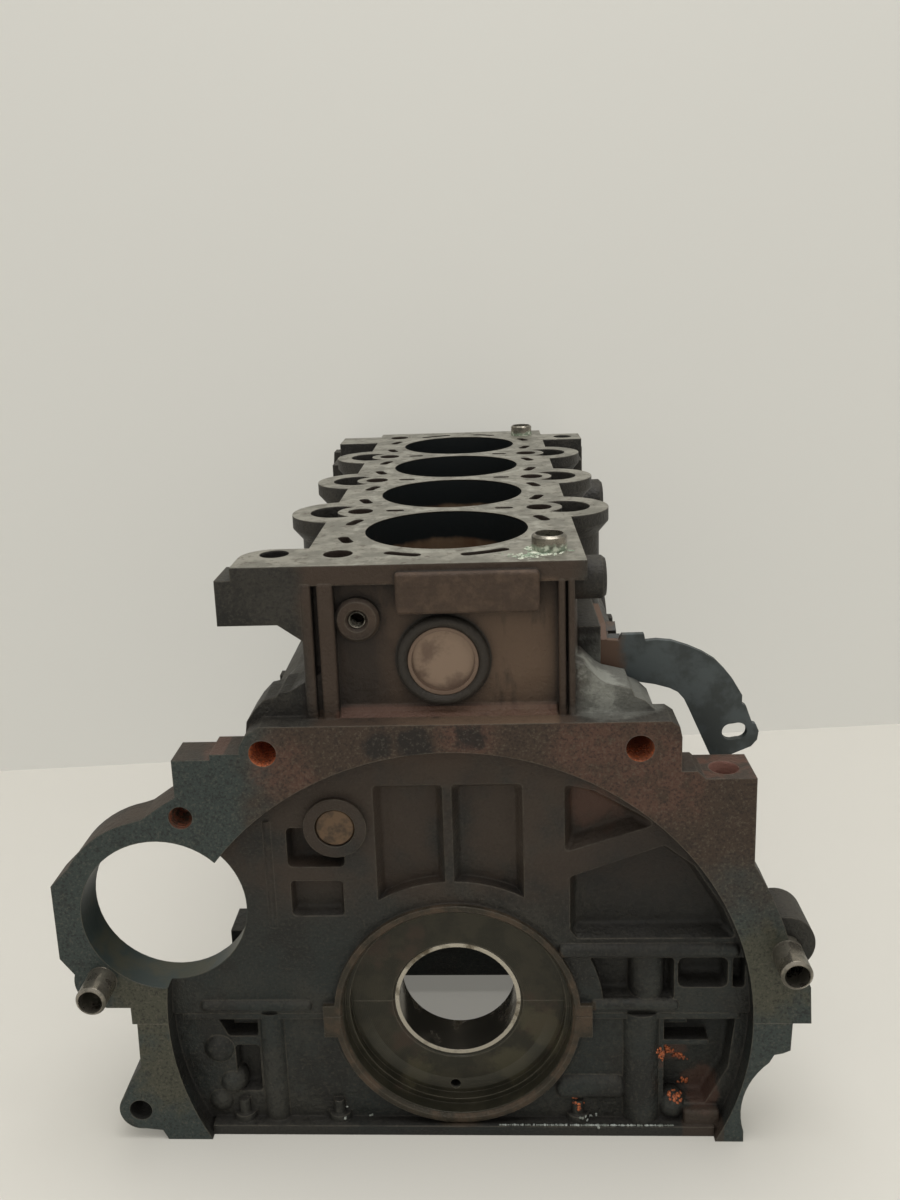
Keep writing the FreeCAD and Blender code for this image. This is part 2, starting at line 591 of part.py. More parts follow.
def deck_holes():
    """Head bolt holes, dowel seats and the drain pockets inside the lobes."""
    tools = []
    for sign, side in SIDES:
        for index, row in enumerate(["(-head_bolt_end)", *ROWS, "(head_bolt_end)"]):
            centre = (f"{sign} * head_bolt_x", row)
            tools += [
                rod(f"head_hole_{side}_{index}", "Z", centre, "head_hole_radius", ("head_hole_step", "deck_height + 1")),
                rod(f"head_thread_{side}_{index}", "Z", centre, "head_thread_radius",
                    ("head_hole_foot", "head_hole_step + 1")),
            ]
        for index, row in enumerate(ROWS):
            pocket = rod(f"drain_{side}_{index}", "Z", (f"{sign} * drain_x", row), "drain_radius",
                         ("drain_foot", "deck_height + 1"))
            core = rod(f"drain_core_{side}_{index}", "Z", (f"{sign} * head_bolt_x", row), "head_boss_radius",
                       ("drain_foot - 1", "deck_height + 2"))
            tools.append(cut(f"drain_pocket_{side}_{index}", pocket, core))
    for name, spot in (("near", "(-head_bolt_end)"), ("far", "(head_bolt_end)")):
        tools.append(rod(f"dowel_seat_{name}", "Z", ("head_bolt_x", spot), "deck_dowel_radius + dowel_bite + press_gap",
                         ("deck_height - deck_dowel_in", "deck_height + 1")))
    tools += [
        rod("ear_hole_near", "Z", (-73.3, -168), 6.4, ("deck_height - 30.4", "deck_height + 1")),
        rod("ear_hole_far", "Z", (74.5, 154.5), 6.4, ("deck_height - 25.4", "deck_height + 1")),
    ]
    return tools


def crank_spaces():
    """The four crankcase bays round the bore walls, and the bearing line."""
    half = [("bay_half", -1), ("bay_half", 120), ("shoulder_x - 8", 131)]
    outline = half + [(f"-({x})", z) for x, z in reversed(half)]
    limits = (("-end_web", "-bore_pitch - web_half"), ("-bore_pitch + web_half", "-web_half"),
              ("web_half", "bore_pitch - web_half"), ("bore_pitch + web_half", "end_web"))
    bays = [prism(f"bay_{index}", "Y", outline, span) for index, span in enumerate(limits)]
    kept = [rod("gallery_casting", "Y", ("gallery_x", "gallery_z"), "gallery_tube", ("-end_face", "end_face"))]
    for index, bore in enumerate(BORES):
        kept += [
            rod(f"kept_barrel_{index}", "Z", (0, bore), "barrel_radius", ("case_roof", "deck_height")),
            rod(f"kept_liner_{index}", "Z", (0, bore), "liner_radius", ("bore_foot", "case_roof + 1")),
        ]
        for sign, side in SIDES:
            for way in (-1, 1):
                centre = (f"{sign} * head_bolt_x", f"{bore} + {way} * bore_pitch / 2")
                kept.append(rod(f"kept_boss_{side}_{index}_{way + 1}", "Z", centre, "head_boss_radius",
                                ("case_roof", "deck_height")))
    bores = [rod(f"bore_{index}", "Z", (0, bore), "bore_radius", ("bore_foot - 2", "deck_height + 1"))
             for index, bore in enumerate(BORES)]
    return [cut("bay_space", fuse("bays", *bays), *kept), main_bore, *bores]


def bell_pockets():
    """Recesses between the ribs of the wall inside the bell opening."""
    windows = [
        pocket("pocket_gallery", oblong((-72.3, -47), (73.7, 92.8)), "bell_floor", 9, 8, 2.5),
        pocket("pocket_lower_left", oblong((-71.8, -48.3), (49.6, 67.1)), "bell_floor", 6, 14, 2),
        pocket("pocket_foot_left", [(-109, 11.5), (-88, 31.5), (-51, 31.5), (-51, 11.5)], "bell_floor", 7, 20, 2),
        pocket("pocket_top_left", oblong((-33.5, -2.9), (55, 112.5)), "bell_floor", 6, 30, 2),
        pocket("pocket_top_middle", oblong((0.5, 31.5), (55, 112.5)), "bell_floor", 6, 30, 2),
        pocket("pocket_top_right", [(49, 79.5), (49, 112), (62, 109), (80, 98.5), (89, 92.5)], "bell_floor", 8, 25, 2),
        pocket("pocket_right", [(51, 37.5), (51, 68), (92, 83), (105, 73), (118, 52), (124, 37.5)], "bell_floor", 8, 22,
               2),
        pocket("pocket_column", oblong((50, 97), (6.5, 28)), "bell_floor", 8, 12, 2),
        pocket("pocket_plate_left", oblong((98.5, 120.5), (12.9, 28)), "bell_floor", 10, 8, 3.2),
        pocket("pocket_plate_right", oblong((122.5, 128), (12.9, 28)), "bell_floor", 8, 4, 1.5),
    ]
    kept = [
        rod("kept_collar", "Y", (0, 0), "collar_radius", ("-bell_floor - 1", "-pocket_floor + 6")),
        rod("kept_gallery_boss", "Y", ("gallery_x", "gallery_z"), "gallery_boss",
            ("-bell_floor - 1", "-pocket_floor + 6")),
        rod("kept_column", "Z", (85.6, "-bell_floor + 8"), 8.2, (2, 30)),
    ]
    return cut("bell_pockets", fuse("bell_windows", *windows), *kept)


def bell_ribs():
    """Round-backed ribs that stand out of the wall inside the bell opening."""
    return [
        soften(rod("bell_rib_right", "X", ("-bell_floor + 1", 31.8), 3.6, (46, 125)), 2),
        soften(rod("bell_rib_right_low", "X", ("-bell_floor + 1", 4.2), 3, (60, 99)), 2),
        soften(rod("bell_rib_left_low", "X", ("-bell_floor + 1", 4.2), 3, (-117, -66)), 2),
        rod("bell_rib_flange_left", "Z", (-80.6, "-bell_floor + 1.6"), 2.4, (44, 96)),
    ]


def bell_holes():
    """Starter opening, bell bolt and dowel holes, gallery and the small threaded holes."""
    through = ("-flange_face - 1", "-flange_back + 12")
    tools = [
        rod("starter_opening", "Y", ("starter_x", "starter_z"), "starter_radius", ("-flange_face - 1", -160)),
        rod("starter_bolt_hole", "Y", (-115.9, 101.8), 5.2, ("-flange_face - 1", -170)),
        rod("bell_bolt_left", "Y", ("bell_left_x", "bell_top_z"), "bell_bolt_radius", through),
        rod("bell_bolt_right", "Y", ("bell_right_x", "bell_top_z"), "bell_bolt_radius", through),
        rod("bearer_hole", "Z", (117, -187), 6.3, (88, "lug_right_top + 1")),
        rod("rear_thread", "Y", (-36.3, "deck_height - 24.4"), 3.4, ("-end_face - 6", "-end_face + 8")),
        rod("rear_thread_lead", "Y", (-36.3, "deck_height - 24.4"), 5, ("-end_face - 4.6", "-end_face - 2.5"), 3.4),
        rod("gallery", "Y", ("gallery_x", "gallery_z"), "gallery_radius", ("-flange_face", "deck_end + 1")),
        rod("gallery_seat_rear", "Y", ("gallery_x", "gallery_z"), "gallery_plug_radius + press_gap",
            ("-flange_face", "-gallery_face + gallery_plug_depth + 1")),
        rod("gallery_seat_front", "Y", ("gallery_x", "gallery_z"), "gallery_plug_radius + press_gap",
            ("deck_end - gallery_plug_depth - 1", "deck_end + 1")),
    ]
    for side in ("left", "right"):
        tools.append(rod(f"dowel_hole_{side}", "Y", (f"dowel_{side}_x", f"dowel_{side}_z"),
                         "bell_dowel_radius + dowel_bite + press_gap", ("-flange_face - 1", "-flange_back + 1")))
    return tools


def thread_holes():
    """Threaded holes for the bedplate bolts, the side bosses and the timing cover."""
    tools = []
    for sign, side in SIDES:
        for index, main in enumerate(MAINS):
            tools.append(rod(f"main_thread_{side}_{index}", "Z", (f"{sign} * main_bolt_x", main),
                             "main_bolt_radius + 0.05", (-1, "main_thread_top")))
        for index, spot in enumerate(RAIL_BOLTS):
            tools.append(rod(f"rail_thread_{side}_{index}", "Z", (f"{sign} * rail_bolt_x", spot),
                             "rail_thread_radius", (-1, "rail_bolt_tip + 2")))
        for index, up in enumerate((20, 90, "deck_height - 25.4")):
            tools.append(rod(f"cover_thread_{side}_{index}", "Y", (f"{sign} * 83", up), 3.4, (170, "deck_end + 1")))
    for index, (along, up) in enumerate(MOUNT_BOSSES):
        tools.append(rod(f"mount_thread_{index}", "X", (along, up), 5.1, (-98, -83)))
    tools += [
        rod("filter_port", "X", (95, 82), 9, (84, 98)),
        rod("side_boss_port", "X", (60, "deck_height - 26.4"), 6, (70, 93)),
        rod("rear_side_port", "X", (-172, "deck_height - 12.1"), 4, (56, 70)),
        rod("bracket_thread_near", "X", (-146.5, 158), 3.3, (58, "bracket_seat + 1")),
        rod("bracket_thread_far", "X", (-129, 158), 3.3, (58, "bracket_seat + 1")),
    ]
    return tools


def cylinder_block():
    """The upper casting, machined."""
    shell = fuse("block_rough", *upper_castings(), *deck_ears(), *crankcase(), *bell_flange(), *side_castings(),
                 *front_castings())
    opened = cut("block_opened", shell, bell_opening, bell_pockets(), above_deck())
    dressed = fuse("block_dressed", opened, *rear_wall_castings(), *bell_ribs(), seal_ring, rod(
        "gallery_boss_rear", "Y", ("gallery_x", "gallery_z"), "gallery_boss", ("-gallery_face", "-end_face")))
    machined = cut("block_machined", dressed, seal_recess, *crank_spaces(), *water_spaces(), *deck_holes(),
                   *bell_holes(), *thread_holes(), below_parting)
    node("cylinder_block", machined)


def above_deck():
    """Everything over the head gasket face."""
    return box("above_deck", (-200, 200), (-250, 250), ("deck_height", "deck_height + 20"))


# ---------------------------------------------------------------- bedplate

def bed_flange():
    """The bell-housing flange below the parting line, on both sides of the sump."""
    span = ("-flange_face", "-flange_back")
    left = [(-100, 0), (-144.8, 0), (-145.3, -22.5), (-151.5, -31), (-155, -39), (-155, -52), (-149, -55.2),
            (-138.2, -56.4), (-135.8, "-bed_depth"), (-100, "-bed_depth")]
    right = [(100, 0), (147.5, 0), (147, -13.7), (143.7, -15.2), (140, -16), (127.6, -40), (127.6, "-bed_depth"),
             (100, "-bed_depth")]
    return fuse(
        "bed_flange",
        prism("bed_flange_left", "Y", left, span),
        rod("bed_ear", "Y", ("ear_x", "ear_z"), 10, span),
        cut(
            "bed_flange_right",
            prism("bed_flange_right_blank", "Y", right, span),
            rod("bed_flange_scoop", "Y", (160.6, -46), 34.5, ("-flange_face - 1", "-flange_back + 1")),
        ),
        box("bed_rear_wall", (-118, 118), ("-flange_face", "-flange_back"), ("-bed_depth", 0)),
    )


def bed_details():
    """What stands on the bedplate's rear wall, inside the bell opening."""
    rail_top = "-bed_depth + 4.8"
    foot = "-bed_depth + 2"
    solids = [
        box("sump_rail_rear_strip", ("-sump_rail_rear", "sump_rail_rear"), ("-sump_rail_face", "-flange_back"),
            ("-bed_depth", rail_top)),
        rod("bed_column_left", "Z", (-85.6, "-bed_wall + 3"), 6.4, (foot, 0)),
        rod("bed_column_right", "Z", (82.8, "-bed_wall + 4"), 9, (foot, 0)),
        soften(box("bed_block_right", (101.8, 118), ("-seal_face", "-bed_wall + 8"), (foot, -49.5)), 1.5),
        box("bed_ledge_right", (93, 113), ("-bed_wall", "-bed_wall + 9"), (-18, -15.5)),
        box("bed_top_ledge_left", (-126, -58), ("-bell_floor", "-flange_back"), (-3, 0)),
        box("bed_top_ledge_right", (58, 126), ("-bell_floor", "-flange_back"), (-3, 0)),
        rod("bed_collar", "Y", (0, 0), "seal_ring_radius + 1", ("-bed_wall - 1.8", "-bed_wall + 2"), "bed_depth - 0.5"),
        soften(rod("bed_shelf", "X", ("-bed_wall + 4", -40), 7.5, (44, 76)), 4),
        lump("bed_lump_upper", -111, -20, 9, "bed_wall", 3.5),
        lump("bed_lump_lower", -106, -38, 7, "bed_wall", 3),
        lump("bed_lump_foot", -112, -48, 8, "bed_wall", 2.5),
        lump("bed_lump_right", 97, -51, 7, "bed_wall", 3),
    ]
    for index, along in enumerate((-101, -56.4, 54)):
        solids.append(rod(f"sump_screw_boss_{index}", "Z", (along, "-bed_wall + 1"), 5.5, (foot, -53)))
        solids.append(rod(f"sump_screw_tip_{index}", "Z", (along, "-bed_wall - 0.5"), 2.6, (foot, -46)))
    return solids


def bed_pockets():
    """Recesses of the bedplate's rear wall."""
    return [
        pocket("bed_pocket_left_top", [(-111, -2.8), (-106, -13.5), (-92, -13.5), (-92, -2.8)], "bed_wall", 9, 8, 1.5),
        pocket("bed_pocket_left", oblong((-103.6, -92), (-43, -18)), "bed_wall", 7, 12, 2),
        pocket("bed_pocket_right", [(93, -3), (125, -3), (122, -30), (112, -49), (93, -49)], "bed_wall", 9, 6, 2),
    ]


def bedplate():
    """The lower casting, machined."""
    flange = cut("bed_flange_opened", bed_flange(), bell_opening, rod(
        "bed_opening", "Y", (0, 0), "bell_radius", ("-flange_face - 1", "-bed_wall")), *bed_pockets())
    rough = fuse(
        "bed_rough",
        flange,
        box("bed_body", ("-skirt_half", "skirt_half"), ("-end_face", "end_face"), ("-bed_depth", 0)),
        box("bed_top_rail", ("-rail_half", "rail_half"), ("-end_face", "end_face"), ("-bed_rail_height", 0)),
        box("sump_rail", ("-rail_half", "rail_half"), ("-end_face", "deck_end"), ("-bed_depth",
                                                                                 "-bed_depth + sump_rail_height")),
        box("bed_front_flange", ("-rail_half", "rail_half"), ("end_face - 8", "deck_end"), ("-bed_depth", 0)),
        *bed_details(),
    )
    dressed = fuse("bed_dressed", rough, seal_ring)
    spaces = []
    limits = (("-end_web", "-bore_pitch - web_half"), ("-bore_pitch + web_half", "-web_half"),
              ("web_half", "bore_pitch - web_half"), ("bore_pitch + web_half", "end_web"))
    for index, span in enumerate(limits):
        spaces.append(box(f"bed_bay_{index}", ("-bay_half", "bay_half"), span, ("-bed_depth - 1", 1)))
    spaces.append(box("sump_opening", ("-bay_half", "bay_half"), ("-end_web", "end_web"),
                      ("-bed_depth - 1", "-bed_web_foot")))
    holes = [
        rod("bed_ear_hole", "Y", ("ear_x", "ear_z"), 5.2, ("-flange_face - 1", "-flange_back + 1")),
        rod("seal_drain", "Y", (-2.3, -44.5), 2.4, ("-flange_face + seal_depth - 1", "-flange_face + seal_depth + 7")),
    ]
    for sign, side in SIDES:
        for index, main in enumerate(MAINS):
            centre = (f"{sign} * main_bolt_x", main)
            holes += [
                rod(f"main_hole_{side}_{index}", "Z", centre, "main_hole_radius", ("-bed_depth - 1", 1)),
                rod(f"main_spot_{side}_{index}", "Z", centre, 10.6, ("-bed_depth - 1", "-main_spot")),
            ]
        for index, spot in enumerate(RAIL_BOLTS):
            holes.append(rod(f"rail_hole_{side}_{index}", "Z", (f"{sign} * rail_bolt_x", spot), "rail_hole_radius",
                             ("-bed_rail_height - 1", 1)))
        for index, spot in enumerate((-165, -112, -56, 0, 56, 112, 165)):
            holes.append(rod(f"sump_thread_{side}_{index}", "Z", (f"{sign} * rail_bolt_x", spot), 2.6,
                             ("-bed_depth - 1", "-bed_depth + sump_rail_height + 1")))
    node("bedplate", cut("bed_machined", dressed, seal_recess, main_bore, *spaces, *holes, above_parting))


# ---------------------------------------------------------------- small pieces

def bearing_shells():
    """Upper and lower half shells of the five main bearings."""
    inner = "saddle_radius - shell_wall"
    outer = "saddle_radius - shell_gap"
    for number, main in enumerate(MAINS, start=1):
        for half, spin in (("upper", 0), ("lower", 180)):
            outline = [(inner, "-shell_half"), (outer, "-shell_half"), (outer, "shell_half"), (inner, "shell_half")]
            item = turned(f"main_shell_{half}_{number}", "Y", {"Y": main}, outline, 180)
            turn = FreeCAD.Rotation(FreeCAD.Vector(0, 1, 0), spin) * TURNS["Y"]
            item.Placement = FreeCAD.Placement(FreeCAD.Vector(), turn)
            place(item, {"Y": main})


def hollow_dowel(name, axis, spots, outer, inner, into, out):
    """A tubular dowel pressed into a face: a hair wider in its hole, with a relief at the face and broken edges."""
    pressed = f"{outer} + dowel_bite"
    way = -1 if out.startswith("-") else 1
    outline = [
        (inner, into), (f"{pressed} - 0.6", into), (pressed, f"{into} + {way} * 0.6"), (pressed, 0),
        (f"{outer} - 0.2", 0), (f"{outer} - 0.2", f"{way} * dowel_relief"), (outer, f"{way} * dowel_relief"),
        (outer, f"{out} - {way}"), (f"{outer} - 1", out), (inner, out),
    ]
    outline = [(radius, f"({height})") for radius, height in outline]
    turned(name, axis, spots, outline)


def dowels():
    """Head dowels on the deck and bell-housing dowels in the flange."""
    for name, spot in (("flywheel_end", "-head_bolt_end"), ("timing_end", "head_bolt_end")):
        hollow_dowel(f"head_dowel_{name}", "Z", {"X": "head_bolt_x", "Y": spot, "Z": "deck_height"},
                     "deck_dowel_radius", "deck_dowel_bore", "-deck_dowel_in", "deck_dowel_out")
    for side in ("left", "right"):
        spots = {"X": f"dowel_{side}_x", "Y": "-flange_face", "Z": f"dowel_{side}_z"}
        hollow_dowel(f"bell_dowel_{side}", "Y", spots, "bell_dowel_radius", "bell_dowel_bore", "bell_dowel_in",
                     "-bell_dowel_out")


def cup(name, axis, spots, radius, mouth):
    """A pressed core plug: a cup whose rim faces along its own axis, outwards when mouth is 1."""
    rim = f"{mouth} * core_plug_depth"
    web = f"{mouth} * core_plug_wall"
    outline = [(0, 0), (radius, 0), (radius, rim), (f"{radius} - core_plug_wall", rim),
               (f"{radius} - core_plug_wall", web), (0, web)]
    turned(name, axis, spots, outline)


def plugs():
    """Core plugs of the water jacket and the two plugs of the oil gallery."""
    spots = {"X": "rear_plug_x", "Y": "-end_face - 3 + core_plug_depth", "Z": "deck_height - rear_plug_drop"}
    cup("core_plug_rear", "Y", spots, "(core_plug_radius - press_gap)", -1)
    count = {-1: 0, 1: 0}
    for side, bore in SIDE_PLUGS:
        count[side] += 1
        spots = {"X": f"{side} * (59 - core_plug_depth)", "Y": bore, "Z": "deck_height - side_plug_drop"}
        cup(f"core_plug_{dict(SIDES)[side]}_{count[side]}", "X", spots, "(core_plug_radius - 2 - press_gap)", side)
    for name, face, way in (("rear", "-gallery_face + 0.6", 1), ("front", "deck_end - 0.6", -1)):
        outline = [(0, 0), ("gallery_plug_radius - 0.8", 0), ("gallery_plug_radius", f"{way} * 0.8"),
                   ("gallery_plug_radius", f"{way} * gallery_plug_depth"), (0, f"{way} * gallery_plug_depth")]
        turned(f"gallery_plug_{name}", "Y", {"X": "gallery_x", "Y": face, "Z": "gallery_z"}, outline)


def hex_bolt(name, centre, shank, seat, tip, flat, head_height):
    """A flanged hexagon bolt standing on its head, seat upwards."""
    head = doc.addObject("Part::Prism", f"{name}_head")
    head.Polygon = 6
    bind(head, "Circumradius", f"({flat}) / 2 / cos(30)")
    bind(head, "Height", f"{head_height} - 1.5")
    place(head, {"X": centre[0], "Y": centre[1], "Z": f"({seat}) - {head_height}"})
    return fuse(
        name,
        head,
        rod(f"{name}_flange", "Z", centre, f"({flat}) * 0.62", (f"({seat}) - 2.2", seat)),
        rod(f"{name}_shank", "Z", centre, shank, (f"({seat}) - 1", tip)),
    )


def bolts():
    """Main bolts and rail bolts, each kind one group of separate bolts."""
    groups = {"main_bolts": [], "rail_bolts": []}
    for sign, side in SIDES:
        for index, main in enumerate(MAINS):
            groups["main_bolts"].append(hex_bolt(f"main_bolt_{side}_{index}", (f"{sign} * main_bolt_x", main),
                                                 "main_bolt_radius", "-main_spot", "main_bolt_tip", 15,
                                                 "main_head_height"))
        for index, spot in enumerate(RAIL_BOLTS):
            groups["rail_bolts"].append(hex_bolt(f"rail_bolt_{side}_{index}", (f"{sign} * rail_bolt_x", spot),
                                                 "rail_bolt_radius", "-bed_rail_height", "rail_bolt_tip", 12,
                                                 "rail_head_height"))
    for name, items in groups.items():
        group = doc.addObject("Part::Compound", name)
        group.Links = items
        node(name, group)


def bracket():
    """Pressed-steel bracket: a curved arm square to the crank axis, with its foot turned along the block."""
    arm = [
        ("bracket_seat", 150), ("bracket_seat", 165), (76.3, 164.4), (77.6, 167.2), (87.4, 167.2), (88, 164),
        (93, 164.4), (99.6, 163.7), (107, 161.1), (113.4, 158.1), (118.8, 154.6), (123.1, 150), (126.9, 145.1),
        (131.2, 137.6), (131.2, 133.5), (133, 132.5), (136, 124), (137.6, 123.6), (139, 120.2), (138.4, 116.1),
        (135.8, 112.9), (123, 107.3), (118.2, 107.3), (108.6, 129.4), (105.3, 136.4), (102.6, 139.6), (98.8, 141.6),
        (92.4, 143.5), (85.5, 144.7), (79, 145.9), (73.7, 147.6),
    ]
    front = ("bracket_y", "bracket_y + bracket_sheet")
    slot = [rod(f"slot_end_{index}", "Y", (along, up), 3.9, ("bracket_y - 1", "bracket_y + bracket_sheet + 1"))
            for index, (along, up) in enumerate(((126.5, 120), (129.8, 120.5)))]
    slot.append(prism("slot_middle", "Y", [(126.5, 116.1), (129.8, 116.6), (129.8, 124.4), (126.5, 123.9)],
                      ("bracket_y - 1", "bracket_y + bracket_sheet + 1")))
    foot = [("bracket_y", 150), ("bracket_y", 165), ("bracket_y + 6", 170.5), ("bracket_y + bracket_foot", 170.5),
            ("bracket_y + bracket_foot", 148), ("bracket_y + 6", 148)]
    holes = [rod(f"foot_hole_{index}", "X", (along, 158), 4.2, ("bracket_seat - 1", "bracket_seat + bracket_sheet + 1"))
             for index, along in enumerate((-146.5, -129))]
    node("pipe_bracket", cut(
        "bracket_cut",
        fuse(
            "bracket_sheet_metal",
            prism("bracket_arm", "Y", arm, front),
            prism("bracket_foot_plate", "X", foot, ("bracket_seat", "bracket_seat + bracket_sheet")),
            prism("bracket_edge_fold", "Y", [(118.2, 107.3), (120.4, 108.3), (107.5, 136), (105.3, 136.4),
                                             (108.6, 129.4)], ("bracket_y", "bracket_y + 9")),
        ),
        *slot,
        *holes,
    ))
    screws = []
    for index, along in enumerate((-146.5, -129)):
        seat = "bracket_seat + bracket_sheet"
        head = doc.addObject("Part::Prism", f"bracket_screw_head_{index}")
        head.Polygon = 6
        head.Placement = FreeCAD.Placement(FreeCAD.Vector(), TURNS["X"])
        bind(head, "Circumradius", "10 / 2 / cos(30)")
        bind(head, "Height", "6")
        place(head, {"X": f"{seat} + 1", "Y": along, "Z": 158})
        screws.append(fuse(
            f"bracket_screw_{index}",
            head,
            rod(f"bracket_screw_flange_{index}", "X", (along, 158), 7, (seat, f"{seat} + 1.6")),
            rod(f"bracket_screw_shank_{index}", "X", (along, 158), 3.2, ("bracket_seat - 9", f"{seat} + 1")),
        ))
    group = doc.addObject("Part::Compound", "bracket_screws")
    group.Links = screws
    node("bracket_screws", group)


# ---------------------------------------------------------------- build, check and write

cylinder_block()
bedplate()
bearing_shells()
dowels()
plugs()
bolts()
bracket()
doc.recompute()

failed = [item.Name for item in doc.Objects if "Invalid" in item.State or "Error" in item.State]
if failed:
    raise RuntimeError(f"objects that did not build: {failed}")
for item in nodes:
    if item.Shape.isNull() or not item.Shape.isValid():
        raise RuntimeError(f"{item.Label} has no valid shape")

os.makedirs(NODE_FOLDER, exist_ok=True)
for item in nodes:
    item.Shape.exportStep(f"{NODE_FOLDER}/{item.Label}.step")
    print(item.Label, len(item.Shape.Solids), round(item.Shape.Volume / 1000, 1), "cm3")
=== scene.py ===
"""A used four-cylinder engine block on a pale bench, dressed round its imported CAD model.

Lengths are in metres and in the frame of the model, apart from those that a name or a comment gives in millimetres.
"""

import json
import logging
import math
import random
from dataclasses import dataclass
from enum import Enum
from typing import Optional, Sequence, Union

import bmesh
import bpy
from mathutils import Matrix, Vector


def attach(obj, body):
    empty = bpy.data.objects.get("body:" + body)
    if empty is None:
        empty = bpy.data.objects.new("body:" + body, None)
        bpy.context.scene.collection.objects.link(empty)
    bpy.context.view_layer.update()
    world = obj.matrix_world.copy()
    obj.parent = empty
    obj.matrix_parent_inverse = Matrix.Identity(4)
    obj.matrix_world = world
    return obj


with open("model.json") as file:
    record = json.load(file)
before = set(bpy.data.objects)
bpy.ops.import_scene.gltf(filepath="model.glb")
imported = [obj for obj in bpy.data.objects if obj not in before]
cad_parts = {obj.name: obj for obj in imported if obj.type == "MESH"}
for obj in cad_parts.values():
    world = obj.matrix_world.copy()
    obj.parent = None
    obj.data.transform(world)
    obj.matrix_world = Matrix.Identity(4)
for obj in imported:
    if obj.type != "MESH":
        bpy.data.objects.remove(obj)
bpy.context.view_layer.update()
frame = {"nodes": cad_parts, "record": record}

logging.basicConfig(level=logging.INFO, format="%(levelname)s %(message)s")
log = logging.getLogger("engine_block")

MM = 0.001
UP = Vector((0, 0, 1))
ALONG = Vector((0, 1, 0))
Socket = bpy.types.NodeSocket
Amount = Union[float, Socket]
Colour = tuple[float, float, float, float]
Pair = tuple[float, float]


# ------------------------------------------------------------------ finishes


@dataclass(frozen=True)
class Finish:
    """What one state of a surface gives the eye."""

    colour: str
    roughness: float
    metallic: float = 0.0


class Iron(Enum):
    """States of the two grey iron castings."""

    # Sand-cast skin, dark with old oil that has baked on.
    SKIN = Finish("#2d2b27", 0.5, 0.15)
    # The same skin, greener and cooler on the lower walls.
    COOL_SKIN = Finish("#262b29", 0.46, 0.2)
    # The same skin where oil still lies wet and shines.
    WET_OIL = Finish("#1b1b18", 0.25, 0.15)
    # The same skin where it is dry and dusty.
    DUSTY = Finish("#3f3c35", 0.75, 0.05)
    # Thin brown rust over the skin.
    BROWN_FILM = Finish("#42352b", 0.62, 0.1)
    # Paler, warmer rust on the flywheel-end wall.
    WARM_FILM = Finish("#685545", 0.56, 0.15)
    # Milled iron: blue-grey steel look, and the brown, reddish and sooty films that lie over it.
    MILLED = Finish("#39413f", 0.46, 0.35)
    MILLED_BROWN = Finish("#40342b", 0.5, 0.25)
    MILLED_RED = Finish("#5a4035", 0.52, 0.2)
    # Soot; the same dark colour is also laid as painted shade in corners, in a pocket of the bell and round the wall's
    # panel.
    SOOT_AND_SHADE = Finish("#1c1a18", 0.6, 0.05)
    OLIVE = Finish("#4e4a39", 0.5, 0.25)
    # Ground head face with its gasket stains.
    DECK = Finish("#878479", 0.38, 0.45)
    DECK_STAIN = Finish("#65635a", 0.46, 0.4)
    DECK_PALE = Finish("#9f9d92", 0.34, 0.5)
    # Honed cylinder wall, and the brown bands that heat and rings leave.
    HONED = Finish("#86705a", 0.3, 0.6)
    HONED_BROWN = Finish("#5d4433", 0.4, 0.4)
    # Painted shade: the dark top band of each bore, the dark reflection that its upper wall shows.
    PAINTED_BORE_SHADE = Finish("#161a1b", 0.35, 0.2)
    # Bored seal recess under olive oil varnish.
    VARNISH = Finish("#37342a", 0.32, 0.35)
    VARNISH_DARK = Finish("#28271f", 0.28, 0.3)
    KHAKI = Finish("#4c4836", 0.42, 0.25)
    # Rusty edge of the seal ring and its ears.
    RUSTY_RIM = Finish("#4b3e31", 0.58, 0.2)
    # Coppery rust on bared hole walls, made brighter as painted light where light reaches into the holes.
    RUST_WITH_PAINTED_LIGHT = Finish("#e08a5e", 0.36, 0.2)
    DULL_COPPER = Finish("#99604a", 0.5, 0.2)
    # Pale red oxide on a bored pad.
    PINK_OXIDE = Finish("#9c7468", 0.5, 0.15)
    # Insides of core holes, slots and the jacket.
    JACKET = Finish("#2b211a", 0.8, 0.05)
    # Rubbed edge where the skin is gone.
    RUBBED = Finish("#6d675b", 0.42, 0.45)
    # White mineral stain.
    LIME = Finish("#8b8c84", 0.7, 0.05)


class Steel(Enum):
    """States of the small steel pieces and of what lies on the block."""

    # Turned steel, worn, with oil stain.
    TURNED = Finish("#8b857a", 0.26, 0.9)
    TURNED_DARK = Finish("#5b584e", 0.42, 0.55)
    # Tin-aluminium bearing metal rubbed smooth by the shaft.
    BEARING = Finish("#b3ada0", 0.2, 0.95)
    BEARING_DARK = Finish("#5d5444", 0.36, 0.7)
    # Zinc-plated pressed steel, gone brown.
    PLUG = Finish("#8a7665", 0.42, 0.45)
    PLUG_DARK = Finish("#6b584a", 0.55, 0.3)
    # Yellow-passivated steel, oily.
    GALLERY = Finish("#624e3a", 0.45, 0.45)
    GALLERY_DARK = Finish("#433527", 0.58, 0.3)
    # Black phosphated bolts.
    BLACK = Finish("#2c2c29", 0.48, 0.45)
    BLACK_RUST = Finish("#4d3d30", 0.7, 0.15)
    # Grey plated pressed steel and its brown welded root.
    BRACKET = Finish("#4c5354", 0.44, 0.4)
    BRACKET_DARK = Finish("#3b403f", 0.58, 0.3)
    BRACKET_ROOT = Finish("#5c4739", 0.62, 0.25)
    # Coppery rust grains.
    COPPER_GRAIN = Finish("#b9683f", 0.38, 0.5)
    COPPER_DARK = Finish("#7c452f", 0.55, 0.25)
    # Silicone sealant squeezed out of a joint.
    SEALANT = Finish("#9da29c", 0.45, 0.0)
    SEALANT_DIRT = Finish("#6d726a", 0.6, 0.0)
    # White and green crust that coolant leaves on a dowel.
    CRUST = Finish("#c3c7b6", 0.9, 0.0)
    CRUST_GREEN = Finish("#7c8b77", 0.85, 0.0)


